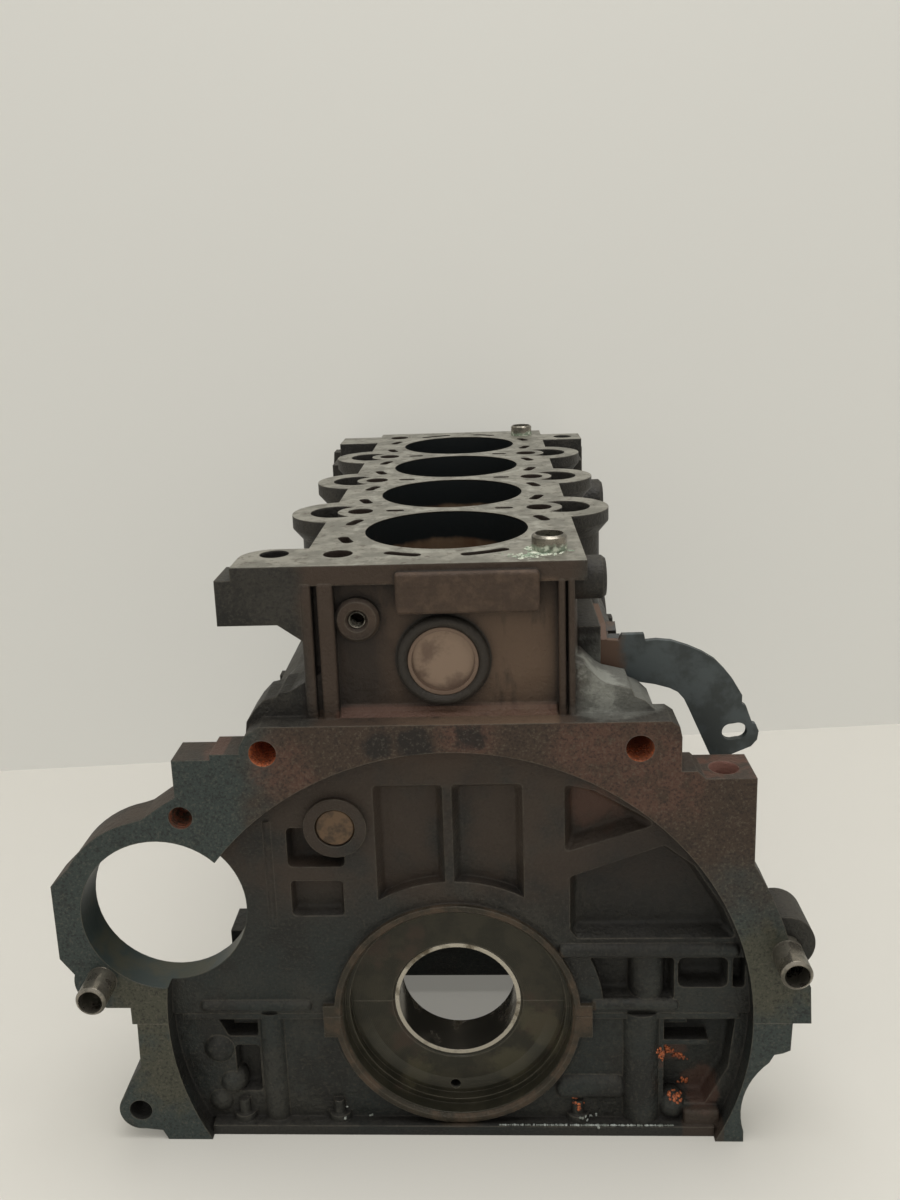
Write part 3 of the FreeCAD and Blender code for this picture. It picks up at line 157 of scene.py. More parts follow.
def srgb(hex_code: str) -> Colour:
    """Turn an sRGB hex code into a linear colour.

    Args:
        hex_code: A hash and six hex digits.

    Returns:
        Linear red, green and blue, and 1 for alpha.
    """
    channels = [int(hex_code[index : index + 2], 16) / 255 for index in (1, 3, 5)]
    red, green, blue = (c / 12.92 if c <= 0.04045 else ((c + 0.055) / 1.055) ** 2.4 for c in channels)
    return (red, green, blue, 1.0)


def add_node(tree: bpy.types.NodeTree, kind: str, inputs: Optional[dict] = None, output: Union[int, str] = 0,
             **settings: object) -> Socket:
    """Add a node with its settings and links.

    Args:
        tree: The tree it goes in.
        kind: The node's Blender type.
        inputs: Value or socket for each input, by name or number.
        output: Name or number of the output to give back.
        settings: Properties of the node.

    Returns:
        That output.
    """
    made = tree.nodes.new(kind)
    for name, value in settings.items():
        setattr(made, name, value)
    for name, value in (inputs or {}).items():
        if isinstance(value, Socket):
            tree.links.new(value, made.inputs[name])
        else:
            made.inputs[name].default_value = value
    return made.outputs[output]


@dataclass(frozen=True)
class Stain:
    """A round stain with a ragged edge: its middle, radius, raggedness and half its edge's width, in millimetres."""

    centre: Pair
    reach: float
    swing: float
    soft: float = 3.0


class Surface:
    """A material under construction: finishes laid over each other by masks, and a relief in millimetres."""

    # share of open sky at which a corner is half darkened by grime and painted shade, and agreement of true and rounded
    # normal at which an edge is half bare, each with half the width of the change
    GRIMY_SHADED_CORNER: Pair = (0.6, 0.3)
    BARE_EDGE: Pair = (0.93, 0.05)

    def __init__(self, name: str, base: Enum) -> None:
        """Start a material.

        Args:
            name: The real material and how it was made.
            base: The finish that covers it all.
        """
        self.material = bpy.data.materials.new(name)
        self.material.use_nodes = True
        self.tree = self.material.node_tree
        self.shader = self.tree.nodes["Principled BSDF"]
        spot = add_node(self.tree, "ShaderNodeTexCoord", output="Object")
        self.place = add_node(self.tree, "ShaderNodeVectorMath", {0: spot, "Scale": 1 / MM}, operation="SCALE")
        self.x, self.y, self.z = add_node(self.tree, "ShaderNodeSeparateXYZ", {0: self.place}).node.outputs
        normal = add_node(self.tree, "ShaderNodeNewGeometry", output="Normal")
        _, self.ny, self.nz = add_node(self.tree, "ShaderNodeSeparateXYZ", {0: normal}).node.outputs
        self.colour: Union[Colour, Socket] = srgb(base.value.colour)
        self.roughness: Amount = base.value.roughness
        self.metallic: Amount = base.value.metallic
        self.relief: Optional[Socket] = None

    def above(self, value: Amount, edge: float, soft: float = 0.05, ends: Pair = (0.0, 1.0)) -> Socket:
        """Make a mask that rises over an edge.

        Args:
            value: The number to test.
            edge: Where the mask is half way.
            soft: Half the width of its rise.
            ends: The mask before and after the edge.

        Returns:
            The mask.
        """
        rise = {"Value": value, "From Min": edge - soft, "From Max": edge + soft, "To Min": ends[0], "To Max": ends[1]}
        return add_node(self.tree, "ShaderNodeMapRange", rise, interpolation_type="SMOOTHSTEP")

    def below(self, value: Amount, edge: float, soft: float = 0.05) -> Socket:
        """Make a mask that falls from 1 to 0, with the arguments of above."""
        return self.above(value, edge, soft, (1.0, 0.0))

    def between(self, value: Amount, ends: Pair, soft: float = 0.05) -> Socket:
        """Make a mask of a stretch between two ends."""
        return self.both(self.above(value, ends[0], soft), self.below(value, ends[1], soft))

    def both(self, *masks: Amount) -> Socket:
        """Make the mask that is 1 only where all the masks are.

        Args:
            masks: Masks, or numbers that weaken them.

        Returns:
            Their product.
        """
        result = masks[0]
        for mask in masks[1:]:
            result = add_node(self.tree, "ShaderNodeMath", {0: result, 1: mask}, operation="MULTIPLY")
        return result

    def either(self, *masks: Amount) -> Socket:
        """Make the mask that is 1 where any of the masks is.

        Args:
            masks: The masks.

        Returns:
            The greatest of them.
        """
        result = masks[0]
        for mask in masks[1:]:
            result = add_node(self.tree, "ShaderNodeMath", {0: result, 1: mask}, operation="MAXIMUM")
        return result

    def outside(self, mask: Amount) -> Socket:
        """Make the mask of everything that a mask leaves out."""
        return add_node(self.tree, "ShaderNodeMath", {0: 1.0, 1: mask}, operation="SUBTRACT")

    def off_middle(self, value: Amount) -> Socket:
        """Measure how far a place is from the model's middle, on either side."""
        return add_node(self.tree, "ShaderNodeMath", {0: value}, operation="ABSOLUTE")

    def radius(self, centre: Pair, second: Optional[Socket] = None) -> Socket:
        """Measure the distance from an axis that stands across x and a second coordinate.

        Args:
            centre: The axis's place in both, in millimetres.
            second: The second coordinate; z if none is given.

        Returns:
            The distance in millimetres.
        """
        squares = []
        for value, middle in zip((self.x, self.z if second is None else second), centre):
            offset = add_node(self.tree, "ShaderNodeMath", {0: value, 1: middle}, operation="SUBTRACT")
            squares.append(self.both(offset, offset))
        total = add_node(self.tree, "ShaderNodeMath", dict(enumerate(squares)), operation="ADD")
        return add_node(self.tree, "ShaderNodeMath", {0: total}, operation="SQRT")

    def cloud(self, grain_mm: float, detail: float = 4, rough: float = 0.55,
              stretch: Sequence[float] = (1, 1, 1)) -> Socket:
        """Make a cloudy pattern round 0.5.

        Args:
            grain_mm: Real size of its largest spots.
            detail: Octaves.
            rough: Strength of the finer octaves.
            stretch: How much finer it is along each axis.

        Returns:
            The pattern.
        """
        spot = add_node(self.tree, "ShaderNodeVectorMath", {0: self.place, 1: tuple(stretch)}, operation="MULTIPLY")
        sizes = {"Vector": spot, "Scale": 1 / grain_mm, "Detail": detail, "Roughness": rough}
        return add_node(self.tree, "ShaderNodeTexNoise", sizes)

    def scatter(self, grain_mm: float, detail: float, rough: float, edge: float, soft: float) -> Socket:
        """Make a mask of spots scattered all over, where a cloudy pattern is above an edge."""
        return self.above(self.cloud(grain_mm, detail, rough), edge, soft)

    def ragged(self, value: Amount, pattern: Socket, swing: float) -> Socket:
        """Shift a number by a pattern, so that a mask made from it gets a ragged edge.

        Args:
            value: The number.
            pattern: A pattern round 0.5.
            swing: How far it shifts, either way.

        Returns:
            The shifted number.
        """
        middle = add_node(self.tree, "ShaderNodeMath", {0: pattern, 1: 0.5}, operation="SUBTRACT")
        return add_node(self.tree, "ShaderNodeMath", {0: value, 1: self.both(middle, 2 * swing)}, operation="ADD")

    def stains(self, spots: Sequence[Stain], pattern: Socket, second: Optional[Socket] = None) -> Socket:
        """Make the mask of ragged round stains.

        Args:
            spots: The stains.
            pattern: What makes them ragged.
            second: The coordinate that they lie in beside x; z if none is given.

        Returns:
            The mask.
        """
        return self.either(*(
            self.below(self.ragged(self.radius(spot.centre, second), pattern, spot.swing), spot.reach, spot.soft)
            for spot in spots))

    def lay(self, mask: Amount, finish: Enum, strength: float = 1.0) -> None:
        """Lay a finish over what is there.

        Args:
            mask: Where it goes.
            finish: The finish.
            strength: How much of it, 0 to 1.
        """
        new = finish.value
        cover = mask if strength == 1.0 else self.both(mask, strength)
        colours = {0: cover, 6: self.colour, 7: srgb(new.colour)}
        self.colour = add_node(self.tree, "ShaderNodeMix", colours, 2, data_type="RGBA")
        for name in ("roughness", "metallic"):
            ends = {0: cover, 2: getattr(self, name), 3: getattr(new, name)}
            setattr(self, name, add_node(self.tree, "ShaderNodeMix", ends, data_type="FLOAT"))

    def raise_by(self, height: Amount, mask: Amount = 1.0, depth: float = 1.0) -> None:
        """Add to the relief.

        Args:
            height: A pattern.
            mask: Where it counts.
            depth: What 1 in the pattern is, in millimetres.
        """
        step = self.both(height, mask, depth)
        if self.relief is not None:
            step = add_node(self.tree, "ShaderNodeMath", {0: self.relief, 1: step}, operation="ADD")
        self.relief = step

    def crevice(self, reach_mm: float) -> Socket:
        """Mask inner corners.

        Args:
            reach_mm: How far from the corner the mask starts.

        Returns:
            The mask.
        """
        reach = {"Distance": reach_mm * MM}
        open_share = add_node(self.tree, "ShaderNodeAmbientOcclusion", reach, "AO", samples=6)
        return self.below(open_share, *self.GRIMY_SHADED_CORNER)

    def rubbed(self, reach_mm: float) -> Socket:
        """Mask the edges.

        Args:
            reach_mm: How far from the edge the mask starts.

        Returns:
            The mask.
        """
        flat = add_node(self.tree, "ShaderNodeNewGeometry", output="Normal")
        rounded = add_node(self.tree, "ShaderNodeBevel", {"Radius": reach_mm * MM}, samples=4)
        meet = add_node(self.tree, "ShaderNodeVectorMath", {0: flat, 1: rounded}, "Value", operation="DOT_PRODUCT")
        return self.below(meet, *self.BARE_EDGE)

    def finish(self, edge_mm: Amount = 0.3, shine: float = 0.5) -> bpy.types.Material:
        """Link everything to the shader.

        Args:
            edge_mm: Radius that the eye sees on the edges, in millimetres.
            shine: The shader's level of plain reflection; 0.5 is a bare dielectric, soot and rust have less.

        Returns:
            The finished material.
        """
        normal = add_node(self.tree, "ShaderNodeBevel", {"Radius": self.both(edge_mm, MM)}, samples=4)
        if self.relief is not None:
            bump = {"Height": self.both(self.relief, MM), "Distance": 1.0, "Normal": normal}
            normal = add_node(self.tree, "ShaderNodeBump", bump)
        links = {"Base Color": self.colour, "Roughness": self.roughness, "Metallic": self.metallic,
                 "Normal": normal, "Specular IOR Level": shine}
        for name, value in links.items():
            if isinstance(value, Socket):
                self.tree.links.new(value, self.shader.inputs[name])
            else:
                self.shader.inputs[name].default_value = value
        return self.material


# ------------------------------------------------------------------ what the classes share


def mount(name: str) -> dict:
    """Find one of the model's stated interfaces by its name."""
    return next(entry for entry in frame["record"]["mounts"] if entry["name"] == name)


def place_mm(name: str) -> Vector:
    """Give an interface's place in millimetres."""
    return Vector(mount(name)["pos_m"]) / MM


def radius_mm(name: str) -> float:
    """Give a round interface's radius in millimetres."""
    return mount(name)["dims"]["r_mm"]


def dress(names: Sequence[str], material: bpy.types.Material) -> None:
    """Give CAD nodes a material.

    Args:
        names: The nodes.
        material: What they are made of.
    """
    for name in names:
        skin = frame["nodes"][name].data.materials
        skin.clear()
        skin.append(material)
    log.info("%s: %s", material.name, ", ".join(names))


def add_piece(name: str, mesh: bpy.types.Mesh, material: bpy.types.Material) -> bpy.types.Object:
    """Add a piece that stays on the block.

    Args:
        name: The piece's name.
        mesh: Its shape, in the frame of the model.
        material: What it is made of.

    Returns:
        The piece.
    """
    mesh.materials.append(material)
    mesh.shade_smooth()
    piece = bpy.data.objects.new(name, mesh)
    bpy.context.scene.collection.objects.link(piece)
    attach(piece, "root")
    log.info("piece %s: %d faces", name, len(mesh.polygons))
    return piece


def landing(node: str, start: Vector, way: Vector) -> Optional[tuple[Vector, Vector]]:
    """Find where a straight line first meets a CAD node.

    Args:
        node: The node's name.
        start: Where the line starts.
        way: Its direction.

    Returns:
        The place and the outward normal there, or None.
    """
    hit, place, normal, _ = frame["nodes"][node].ray_cast(start, way.normalized())
    return (place, normal) if hit else None


def spotted(name: str, base: Enum, stain: Enum, grain_mm: float, share: float) -> Surface:
    """Start a material of one finish with stains of another and fine scratches.

    Args:
        name: The material's name.
        base: Its clean finish.
        stain: The finish of its stains.
        grain_mm: Size of the stains.
        share: How much they cover, 0 to 1.

    Returns:
        The material, still open.
    """
    surface = Surface(name, base)
    # nearly all of the pattern lies between 0.28 and 0.72, so this edge leaves about the stated share above it
    surface.lay(surface.scatter(grain_mm, 5, 0.62, 0.72 - 0.44 * share, 0.09), stain)
    # scratches, drawn at 0.9 mm because real ones are too fine to show
    surface.raise_by(surface.cloud(0.9, 3, 0.6), depth=0.05)
    return surface


# the flywheel end is what lies before this y; the rear core plug's place (x, z)
FLYWHEEL_END = -160.0
REAR_PLUG: Pair = (-0.8, place_mm("deck_face").z - 43.4)


# ------------------------------------------------------------------ the castings


@dataclass
class Casting:
    """What both iron castings share: where they were machined and how sand, oil and dust lie on them.

    Sizes are in millimetres, and a pair is the two ends of a stretch or a place (x, z).
    """

    flange_face: float = place_mm("bell_face").y
    seal_radius: float = radius_mm("seal_recess")
    seal_floor: float = -182.0
    # the rusty ring round the seal recess and its two ears
    ring_width: float = 4.0
    ring_front: float = -191.2
    ear_z: Pair = (-11.5, 6.5)
    ear_reach: float = 62.0
    # smears that a rag left under and beside the shell
    smears: tuple = (Stain((38, -14), 9, 14), Stain((24, -33), 8, 12), Stain((-20, -36), 7, 12))
    # the lip of the seal's seat, paler below the shaft
    lip: Pair = (41.5, 47.2)
    lip_top: float = -16.0
    # spacing of the turned seat's grooves, drawn as coarse as they need to show
    groove_mm: float = 0.8
    # films on the milled face of the flange
    brown_from: Pair = (-84.0, 62.0)
    red_clouds: tuple = (Stain((-70, 124), 10, 18, 7), Stain((88, 120), 20, 24, 9), Stain((62, 131), 16, 18, 8))
    red_flecks: tuple = (Stain((8, 137), 12, 14, 5),)
    soot_marks: tuple = (Stain((-14, 134), 8, 9, 2.5), Stain((-29, 134), 6, 7, 2.5), Stain((10, 137), 6, 8, 3))
    olive_marks: tuple = (Stain((-136, 12), 20, 18, 7), Stain((-128, -25), 20, 20, 8), Stain((132, 25), 22, 18, 8))
    # moulding sand, the casting's lumps, and the cutter's pits and lines
    sand_mm: float = 1.4
    lump_mm: float = 15.0
    pit_mm: float = 1.1
    line_mm: float = 2.0

    def skin(self, surface: Surface) -> None:
        """Lay cooler, dusty and wet patches over the sand-cast skin.

        Args:
            surface: The casting's material.
        """
        surface.lay(surface.below(surface.ragged(surface.z, surface.cloud(50), 60), 45, 40), Iron.COOL_SKIN)
        surface.lay(surface.scatter(60, 6, 0.6, 0.55, 0.1), Iron.DUSTY, 0.55)
        surface.lay(surface.scatter(34, 6, 0.65, 0.57, 0.07), Iron.WET_OIL, 0.8)
        # dust settles on faces that look up
        dust = surface.both(surface.above(surface.nz, 0.55, 0.3), surface.scatter(9, 5, 0.7, 0.45, 0.15))
        surface.lay(dust, Iron.DUSTY, 0.5)
        # coarse sand grains show as dark and pale flecks
        sand = surface.cloud(self.sand_mm, 2, 0.7)
        surface.lay(surface.above(sand, 0.58, 0.05), Iron.SOOT_AND_SHADE, 0.55)
        surface.lay(surface.below(sand, 0.4, 0.04), Iron.DUSTY, 0.6)
        # painted shade, with soot and oil, darkens the inner corners
        surface.lay(surface.crevice(20), Iron.SOOT_AND_SHADE, 0.85)

    def rub(self, surface: Surface) -> None:
        """Bare the outer edges here and there.

        Args:
            surface: The casting's material.
        """
        outer = surface.both(surface.rubbed(0.9), surface.outside(surface.crevice(4)))
        surface.lay(surface.both(outer, surface.scatter(11, 5, 0.7, 0.42, 0.12)), Iron.RUBBED, 0.6)

    def at_flywheel_end(self, surface: Surface) -> Socket:
        """Mask the flywheel end."""
        return surface.below(surface.y, FLYWHEEL_END, 3)

    def milled_face(self, surface: Surface) -> Socket:
        """Mask the milled face of the bell flange."""
        return surface.both(surface.below(surface.y, self.flange_face + 0.15), surface.below(surface.ny, -0.8, 0.1))

    def seal_bore(self, surface: Surface) -> Socket:
        """Varnish the seal recess and rust its ring.

        Args:
            surface: The casting's material.

        Returns:
            The mask of the bored part.
        """
        crank = surface.radius((0, 0))
        near = surface.below(surface.y, self.seal_floor + 1, 0.5)
        bored = surface.both(surface.below(crank, self.seal_radius + 0.2), near)
        stain = surface.cloud(13, 6, 0.65)
        ears = surface.both(surface.between(surface.z, self.ear_z, 0.5),
                            surface.below(surface.off_middle(surface.x), self.ear_reach, 0.5))
        rim = surface.below(crank, self.seal_radius + self.ring_width + 1, 1)
        ring = surface.both(surface.either(rim, ears), surface.below(surface.y, self.ring_front, 0.6))
        surface.lay(ring, Iron.RUSTY_RIM)
        surface.lay(surface.both(ring, surface.above(stain, 0.48, 0.12)), Iron.VARNISH_DARK, 0.8)
        surface.lay(bored, Iron.VARNISH)
        surface.lay(surface.both(bored, surface.above(stain, 0.5, 0.1)), Iron.VARNISH_DARK, 0.8)
        surface.lay(surface.both(bored, surface.scatter(21, 5, 0.6, 0.62, 0.06)), Iron.MILLED_BROWN, 0.7)
        surface.lay(surface.both(bored, surface.stains(self.smears, stain)), Iron.KHAKI, 0.55)
        lip = surface.both(surface.between(crank, self.lip, 0.3), surface.below(surface.z, self.lip_top, 10))
        surface.lay(surface.both(bored, lip), Iron.DECK_STAIN, 0.25)
        turns = surface.both(crank, 2 * math.pi / self.groove_mm)
        surface.raise_by(add_node(surface.tree, "ShaderNodeMath", {0: turns}, operation="SINE"), bored, 0.012)
        return bored

    def mottle(self, surface: Surface, face: Socket) -> None:
        """Lay brown, red, sooty and olive films over the milled face of the flange.

        Args:
            surface: The casting's material.
            face: Mask of the milled face.
        """
        cloud = surface.cloud(26, 6, 0.62)
        fleck = surface.cloud(7, 5, 0.7)
        surface.lay(face, Iron.MILLED)
        brown = surface.both(surface.above(surface.ragged(surface.x, cloud, 30), self.brown_from[0], 14),
                             surface.above(surface.ragged(surface.z, cloud, 40), self.brown_from[1], 22))
        surface.lay(surface.both(face, brown), Iron.MILLED_BROWN)
        red = surface.either(surface.stains(self.red_clouds, cloud), surface.stains(self.red_flecks, fleck))
        surface.lay(surface.both(face, red, surface.above(fleck, 0.45, 0.16)), Iron.MILLED_RED, 0.85)
        surface.lay(surface.both(face, surface.stains(self.soot_marks, fleck)), Iron.SOOT_AND_SHADE, 0.85)
        surface.lay(surface.both(face, surface.stains(self.olive_marks, fleck)), Iron.OLIVE, 0.6)
        surface.lay(surface.both(face, surface.above(fleck, 0.6, 0.06)), Iron.SOOT_AND_SHADE, 0.35)
        pits = surface.cloud(self.pit_mm, 2, 0.7)
        surface.lay(surface.both(face, surface.above(pits, 0.59, 0.05)), Iron.SOOT_AND_SHADE, 0.6)
        surface.lay(surface.both(face, surface.below(pits, 0.39, 0.04)), Iron.RUBBED, 0.28)

    def relief(self, surface: Surface, machined: Socket) -> Socket:
        """Raise the sand grain of the raw skin and the cutter marks of machined faces.

        Args:
            surface: The casting's material.
            machined: Mask of its machined faces.

        Returns:
            The radius of its seen edges, in millimetres.
        """
        raw = surface.outside(machined)
        surface.raise_by(surface.cloud(self.sand_mm, 3, 0.65), raw, 0.55)
        surface.raise_by(surface.cloud(self.lump_mm, 3, 0.5), raw, 1.8)
        surface.raise_by(surface.cloud(self.pit_mm, 2, 0.7), machined, 0.08)
        surface.raise_by(surface.cloud(self.line_mm, 3, 0.6, (0.1, 1, 1)), machined, 0.05)
        # cast edges are rounder than cut ones
        return add_node(surface.tree, "ShaderNodeMix", {0: machined, 2: 1.5, 3: 0.35}, data_type="FLOAT")


@dataclass
class CylinderBlock(Casting):
    """The upper casting: sand-cast grey iron, milled, ground and honed."""

    deck: float = place_mm("deck_face").z
    bore_radius: float = radius_mm("cylinder_1")
    bore_pitch: float = place_mm("cylinder_2").y - place_mm("cylinder_1").y
    bore_foot: float = 70.0
    shade_band_depth: float = 15.0
    # rings that the gasket's beads pressed round each cylinder
    gasket_bead: Pair = (41.5, 44.5)
    # half width and half length of the part of the deck that slots and pockets open into, and how deep they show
    slot_reach: Pair = (55.0, 183.0)
    slot_foot: float = 120.0
    starter: Pair = (place_mm("starter_opening").x, place_mm("starter_opening").z)
    starter_radius: float = radius_mm("starter_opening")
    # bolt holes of the flange (x, z, radius) and the vertical hole of its right lug (x, y, radius)
    bell_bolts: tuple = ((-78.2, 131.0, 6.0), (80.3, 131.0, 6.0))
    starter_bolt: tuple = (-115.9, 101.8, 5.3)
    bearer_hole: tuple = (117.0, -187.0, 6.4)
    # tops of the flange's lugs: height, stretch in x, and the y that they lie before
    right_lug: tuple = (116.8, (107, 129))
    left_lug: tuple = (128.3, (-118, -95))
    lug_back: float = -174.0
    # the wall over the flange: where it turns brown, its panel, the run under its boss and the panel's lower lip
    brown_wall_foot: float = 128.0
    brown_wall_reach: float = 58.0
    panel_x: Pair = (-46, 47)
    panel_z: Pair = (140, 203)
    run_x: Pair = (-42, -27)
    run_z: Pair = (148, 180)
    panel_lip_x: Pair = (-47, 47)
    panel_lip_z: Pair = (140.5, 147)
    panel_frame_foot: float = 146.0
    plug_ring: Pair = (15, 20.5)
    # front and foot of the raised pad on that wall
    pad_front: float = -190.8
    pad_foot: float = 188.0
    # mineral stain on the shoulder: places (x, y), and the heights it lies between
    grey_shoulder: tuple = (Stain((72, -176), 18, 12, 5),)
    white_shoulder: tuple = (Stain((66, -180), 8, 12),)
    shoulder_z: Pair = (142, 168)
    # inside the bell: heights of the brown film, a red corner and a shaded pocket
    bell_film_z: Pair = (55, 135)
    red_corner: tuple = (Stain((62, 100), 9, 12, 5),)
    shaded_pocket: tuple = (Stain((92, 58), 34, 20, 16),)

    def bore_axis(self, surface: Surface) -> Socket:
        """Measure the distance from the nearest cylinder's axis."""
        along = add_node(surface.tree, "ShaderNodeMath", {0: surface.y, 1: self.bore_pitch}, operation="FLOORED_MODULO")
        return surface.radius((0, self.bore_pitch / 2), along)

    def rear_wall(self, surface: Surface) -> None:
        """Lay warm rust on the wall over the flange, with dark runs under its boss and beside its plug.

        Args:
            surface: The block's material.
        """
        end = self.at_flywheel_end(surface)
        cloud = surface.cloud(30, 6, 0.6)
        high = surface.above(surface.ragged(surface.z, cloud, 30), self.brown_wall_foot, 16)
        middle = surface.below(surface.off_middle(surface.ragged(surface.x, cloud, 10)), self.brown_wall_reach, 5)
        surface.lay(surface.both(end, high, middle), Iron.BROWN_FILM, 0.85)
        panel = surface.both(end, surface.between(surface.z, self.panel_z, 2),
                             surface.between(surface.x, self.panel_x, 2))
        warm = surface.above(surface.ragged(surface.x, cloud, 40), -5, 30)
        surface.lay(surface.both(panel, warm), Iron.WARM_FILM, 0.8)
        runs = surface.cloud(9, 4, 0.6, (1, 1, 0.3))
        under_boss = surface.both(surface.between(surface.ragged(surface.x, runs, 7), self.run_x, 4),
                                  surface.between(surface.z, self.run_z, 6))
        surface.lay(surface.both(panel, surface.either(under_boss, surface.above(runs, 0.64, 0.08))), Iron.SOOT_AND_SHADE, 0.55)
        lip = surface.both(end, surface.between(surface.z, self.panel_lip_z, 1.2), surface.below(surface.ny, -0.2, 0.2),
                           surface.between(surface.x, self.panel_lip_x, 1))
        surface.lay(surface.both(lip, surface.above(cloud, 0.45, 0.15)), Iron.MILLED_RED, 0.7)
        # painted shade in the corners round the panel
        painted_frame_shade = surface.both(end, surface.above(surface.z, self.panel_frame_foot),
                                  surface.above(surface.crevice(20), 0.35, 0.3))
        surface.lay(painted_frame_shade, Iron.SOOT_AND_SHADE, 0.75)
        ring = surface.between(surface.radius(REAR_PLUG), self.plug_ring, 0.5)
        surface.lay(surface.both(end, ring, high), Iron.SKIN, 0.9)
        pad = surface.both(surface.below(surface.y, self.pad_front, 0.3), surface.above(surface.z, self.pad_foot, 1))
        surface.lay(pad, Iron.BROWN_FILM)
        surface.lay(surface.both(pad, surface.scatter(5, 5, 0.7, 0.55, 0.15)), Iron.WARM_FILM, 0.4)

    def shoulder(self, surface: Surface) -> None:
        """Lay white mineral stain on the shoulder beside the bracket, and grey bare iron round it.

        Args:
            surface: The block's material.
        """
        grey = surface.stains(self.grey_shoulder, surface.cloud(14, 5, 0.65), surface.y)
        spill = surface.stains(self.white_shoulder, surface.cloud(6, 5, 0.65), surface.y)
        level = surface.between(surface.z, self.shoulder_z, 2)
        surface.lay(surface.both(grey, level), Iron.LIME, 0.4)
        surface.lay(surface.both(spill, level), Iron.LIME, 0.8)

    def bores(self, surface: Surface) -> Socket:
        """Hone the cylinders and paint shade on their tops.

        Args:
            surface: The block's material.

        Returns:
            The mask of the cylinders' walls.
        """
        inside = surface.both(surface.below(self.bore_axis(surface), self.bore_radius + 0.4, 0.2),
                              surface.between(surface.z, (self.bore_foot, self.deck - 0.3), 0.3),
                              surface.below(surface.off_middle(surface.y), 2 * self.bore_pitch - 1))
        streaks = surface.cloud(16, 4, 0.5, (1, 1, 0.12))
        surface.lay(inside, Iron.HONED)
        surface.lay(surface.both(inside, surface.above(streaks, 0.5, 0.14)), Iron.HONED_BROWN)
        # painted shade: the top band of each bore drawn dark
        top = surface.above(surface.ragged(surface.z, surface.cloud(20), 4), self.deck - self.shade_band_depth, 1.5)
        surface.lay(surface.both(inside, top), Iron.PAINTED_BORE_SHADE)
        return inside

    def deck_face(self, surface: Surface) -> Socket:
        """Grind the head face and stain it round the cylinders.

        Args:
            surface: The block's material.

        Returns:
            The mask of the head face.
        """
        face = surface.both(surface.above(surface.z, self.deck - 0.1), surface.above(surface.nz, 0.8, 0.1))
        wall = self.bore_axis(surface)
        surface.lay(face, Iron.DECK)
        bead = surface.between(surface.ragged(wall, surface.cloud(12), 1.5), self.gasket_bead, 1.2)
        surface.lay(surface.both(face, bead), Iron.DECK_PALE, 0.8)
        surface.lay(surface.both(face, surface.scatter(15, 6, 0.68, 0.5, 0.09)), Iron.DECK_STAIN, 0.85)
        surface.lay(surface.both(face, surface.scatter(5, 5, 0.7, 0.6, 0.06)), Iron.BROWN_FILM, 0.6)
        return face

    def slots(self, surface: Surface) -> None:
        """Darken the walls of everything that opens into the head face.

        Args:
            surface: The block's material.
        """
        outside_bore = surface.above(self.bore_axis(surface), self.bore_radius + 0.6, 0.2)
        upright = surface.below(surface.off_middle(surface.nz), 0.5, 0.1)
        within = surface.both(surface.below(surface.off_middle(surface.x), self.slot_reach[0], 1),
                              surface.below(surface.off_middle(surface.y), self.slot_reach[1], 0.5),
                              surface.between(surface.z, (self.slot_foot, self.deck - 0.2), 0.1))
        surface.lay(surface.both(outside_bore, upright, within), Iron.JACKET)

    def lug_top(self, surface: Surface, height: float, ends: Pair) -> Socket:
        """Mask the top of one of the flange's lugs.

        Args:
            surface: The block's material.
            height: Just under its top.
            ends: Its stretch in x.

        Returns:
            The mask.
        """
        return surface.both(surface.above(surface.z, height), surface.between(surface.x, ends, 0.5),
                            surface.above(surface.nz, 0.7, 0.1), surface.below(surface.y, self.lug_back, 0.5))

    def holes(self, surface: Surface) -> None:
        """Rust the walls of the flange's holes, with painted light in the bolt holes, and the tops of its lugs.

        Args:
            surface: The block's material.
        """
        deep = surface.above(surface.y, self.flange_face + 0.3, 0.2)
        fleck = surface.cloud(1.6, 4, 0.7)
        for x, z, reach in self.bell_bolts:
            wall = surface.both(surface.below(surface.radius((x, z)), reach, 0.2), deep, self.at_flywheel_end(surface))
            # the left hole gets more of it: rust with painted light, brighter than in the right hole
            surface.lay(wall, Iron.RUST_WITH_PAINTED_LIGHT, 0.95 if x < 0 else 0.6)
            surface.lay(surface.both(wall, surface.above(fleck, 0.5, 0.08)), Iron.DULL_COPPER)
        x, z, reach = self.starter_bolt
        wall = surface.both(surface.below(surface.radius((x, z)), reach, 0.2), deep)
        surface.lay(surface.both(wall, surface.above(fleck, 0.42, 0.1)), Iron.DULL_COPPER, 0.45)
        x, y, reach = self.bearer_hole
        column = surface.below(surface.radius((x, y), surface.y), reach, 0.2)
        surface.lay(surface.both(column, surface.above(surface.z, 88)), Iron.PINK_OXIDE)
        pad = self.lug_top(surface, *self.right_lug)
        surface.lay(surface.both(pad, surface.above(surface.cloud(6), 0.5, 0.1)), Iron.MILLED_RED, 0.7)
        lug = self.lug_top(surface, *self.left_lug)
        surface.lay(surface.both(lug, surface.above(surface.ragged(surface.x, surface.cloud(5), 6), -104, 3)),
                    Iron.MILLED_RED, 0.6)

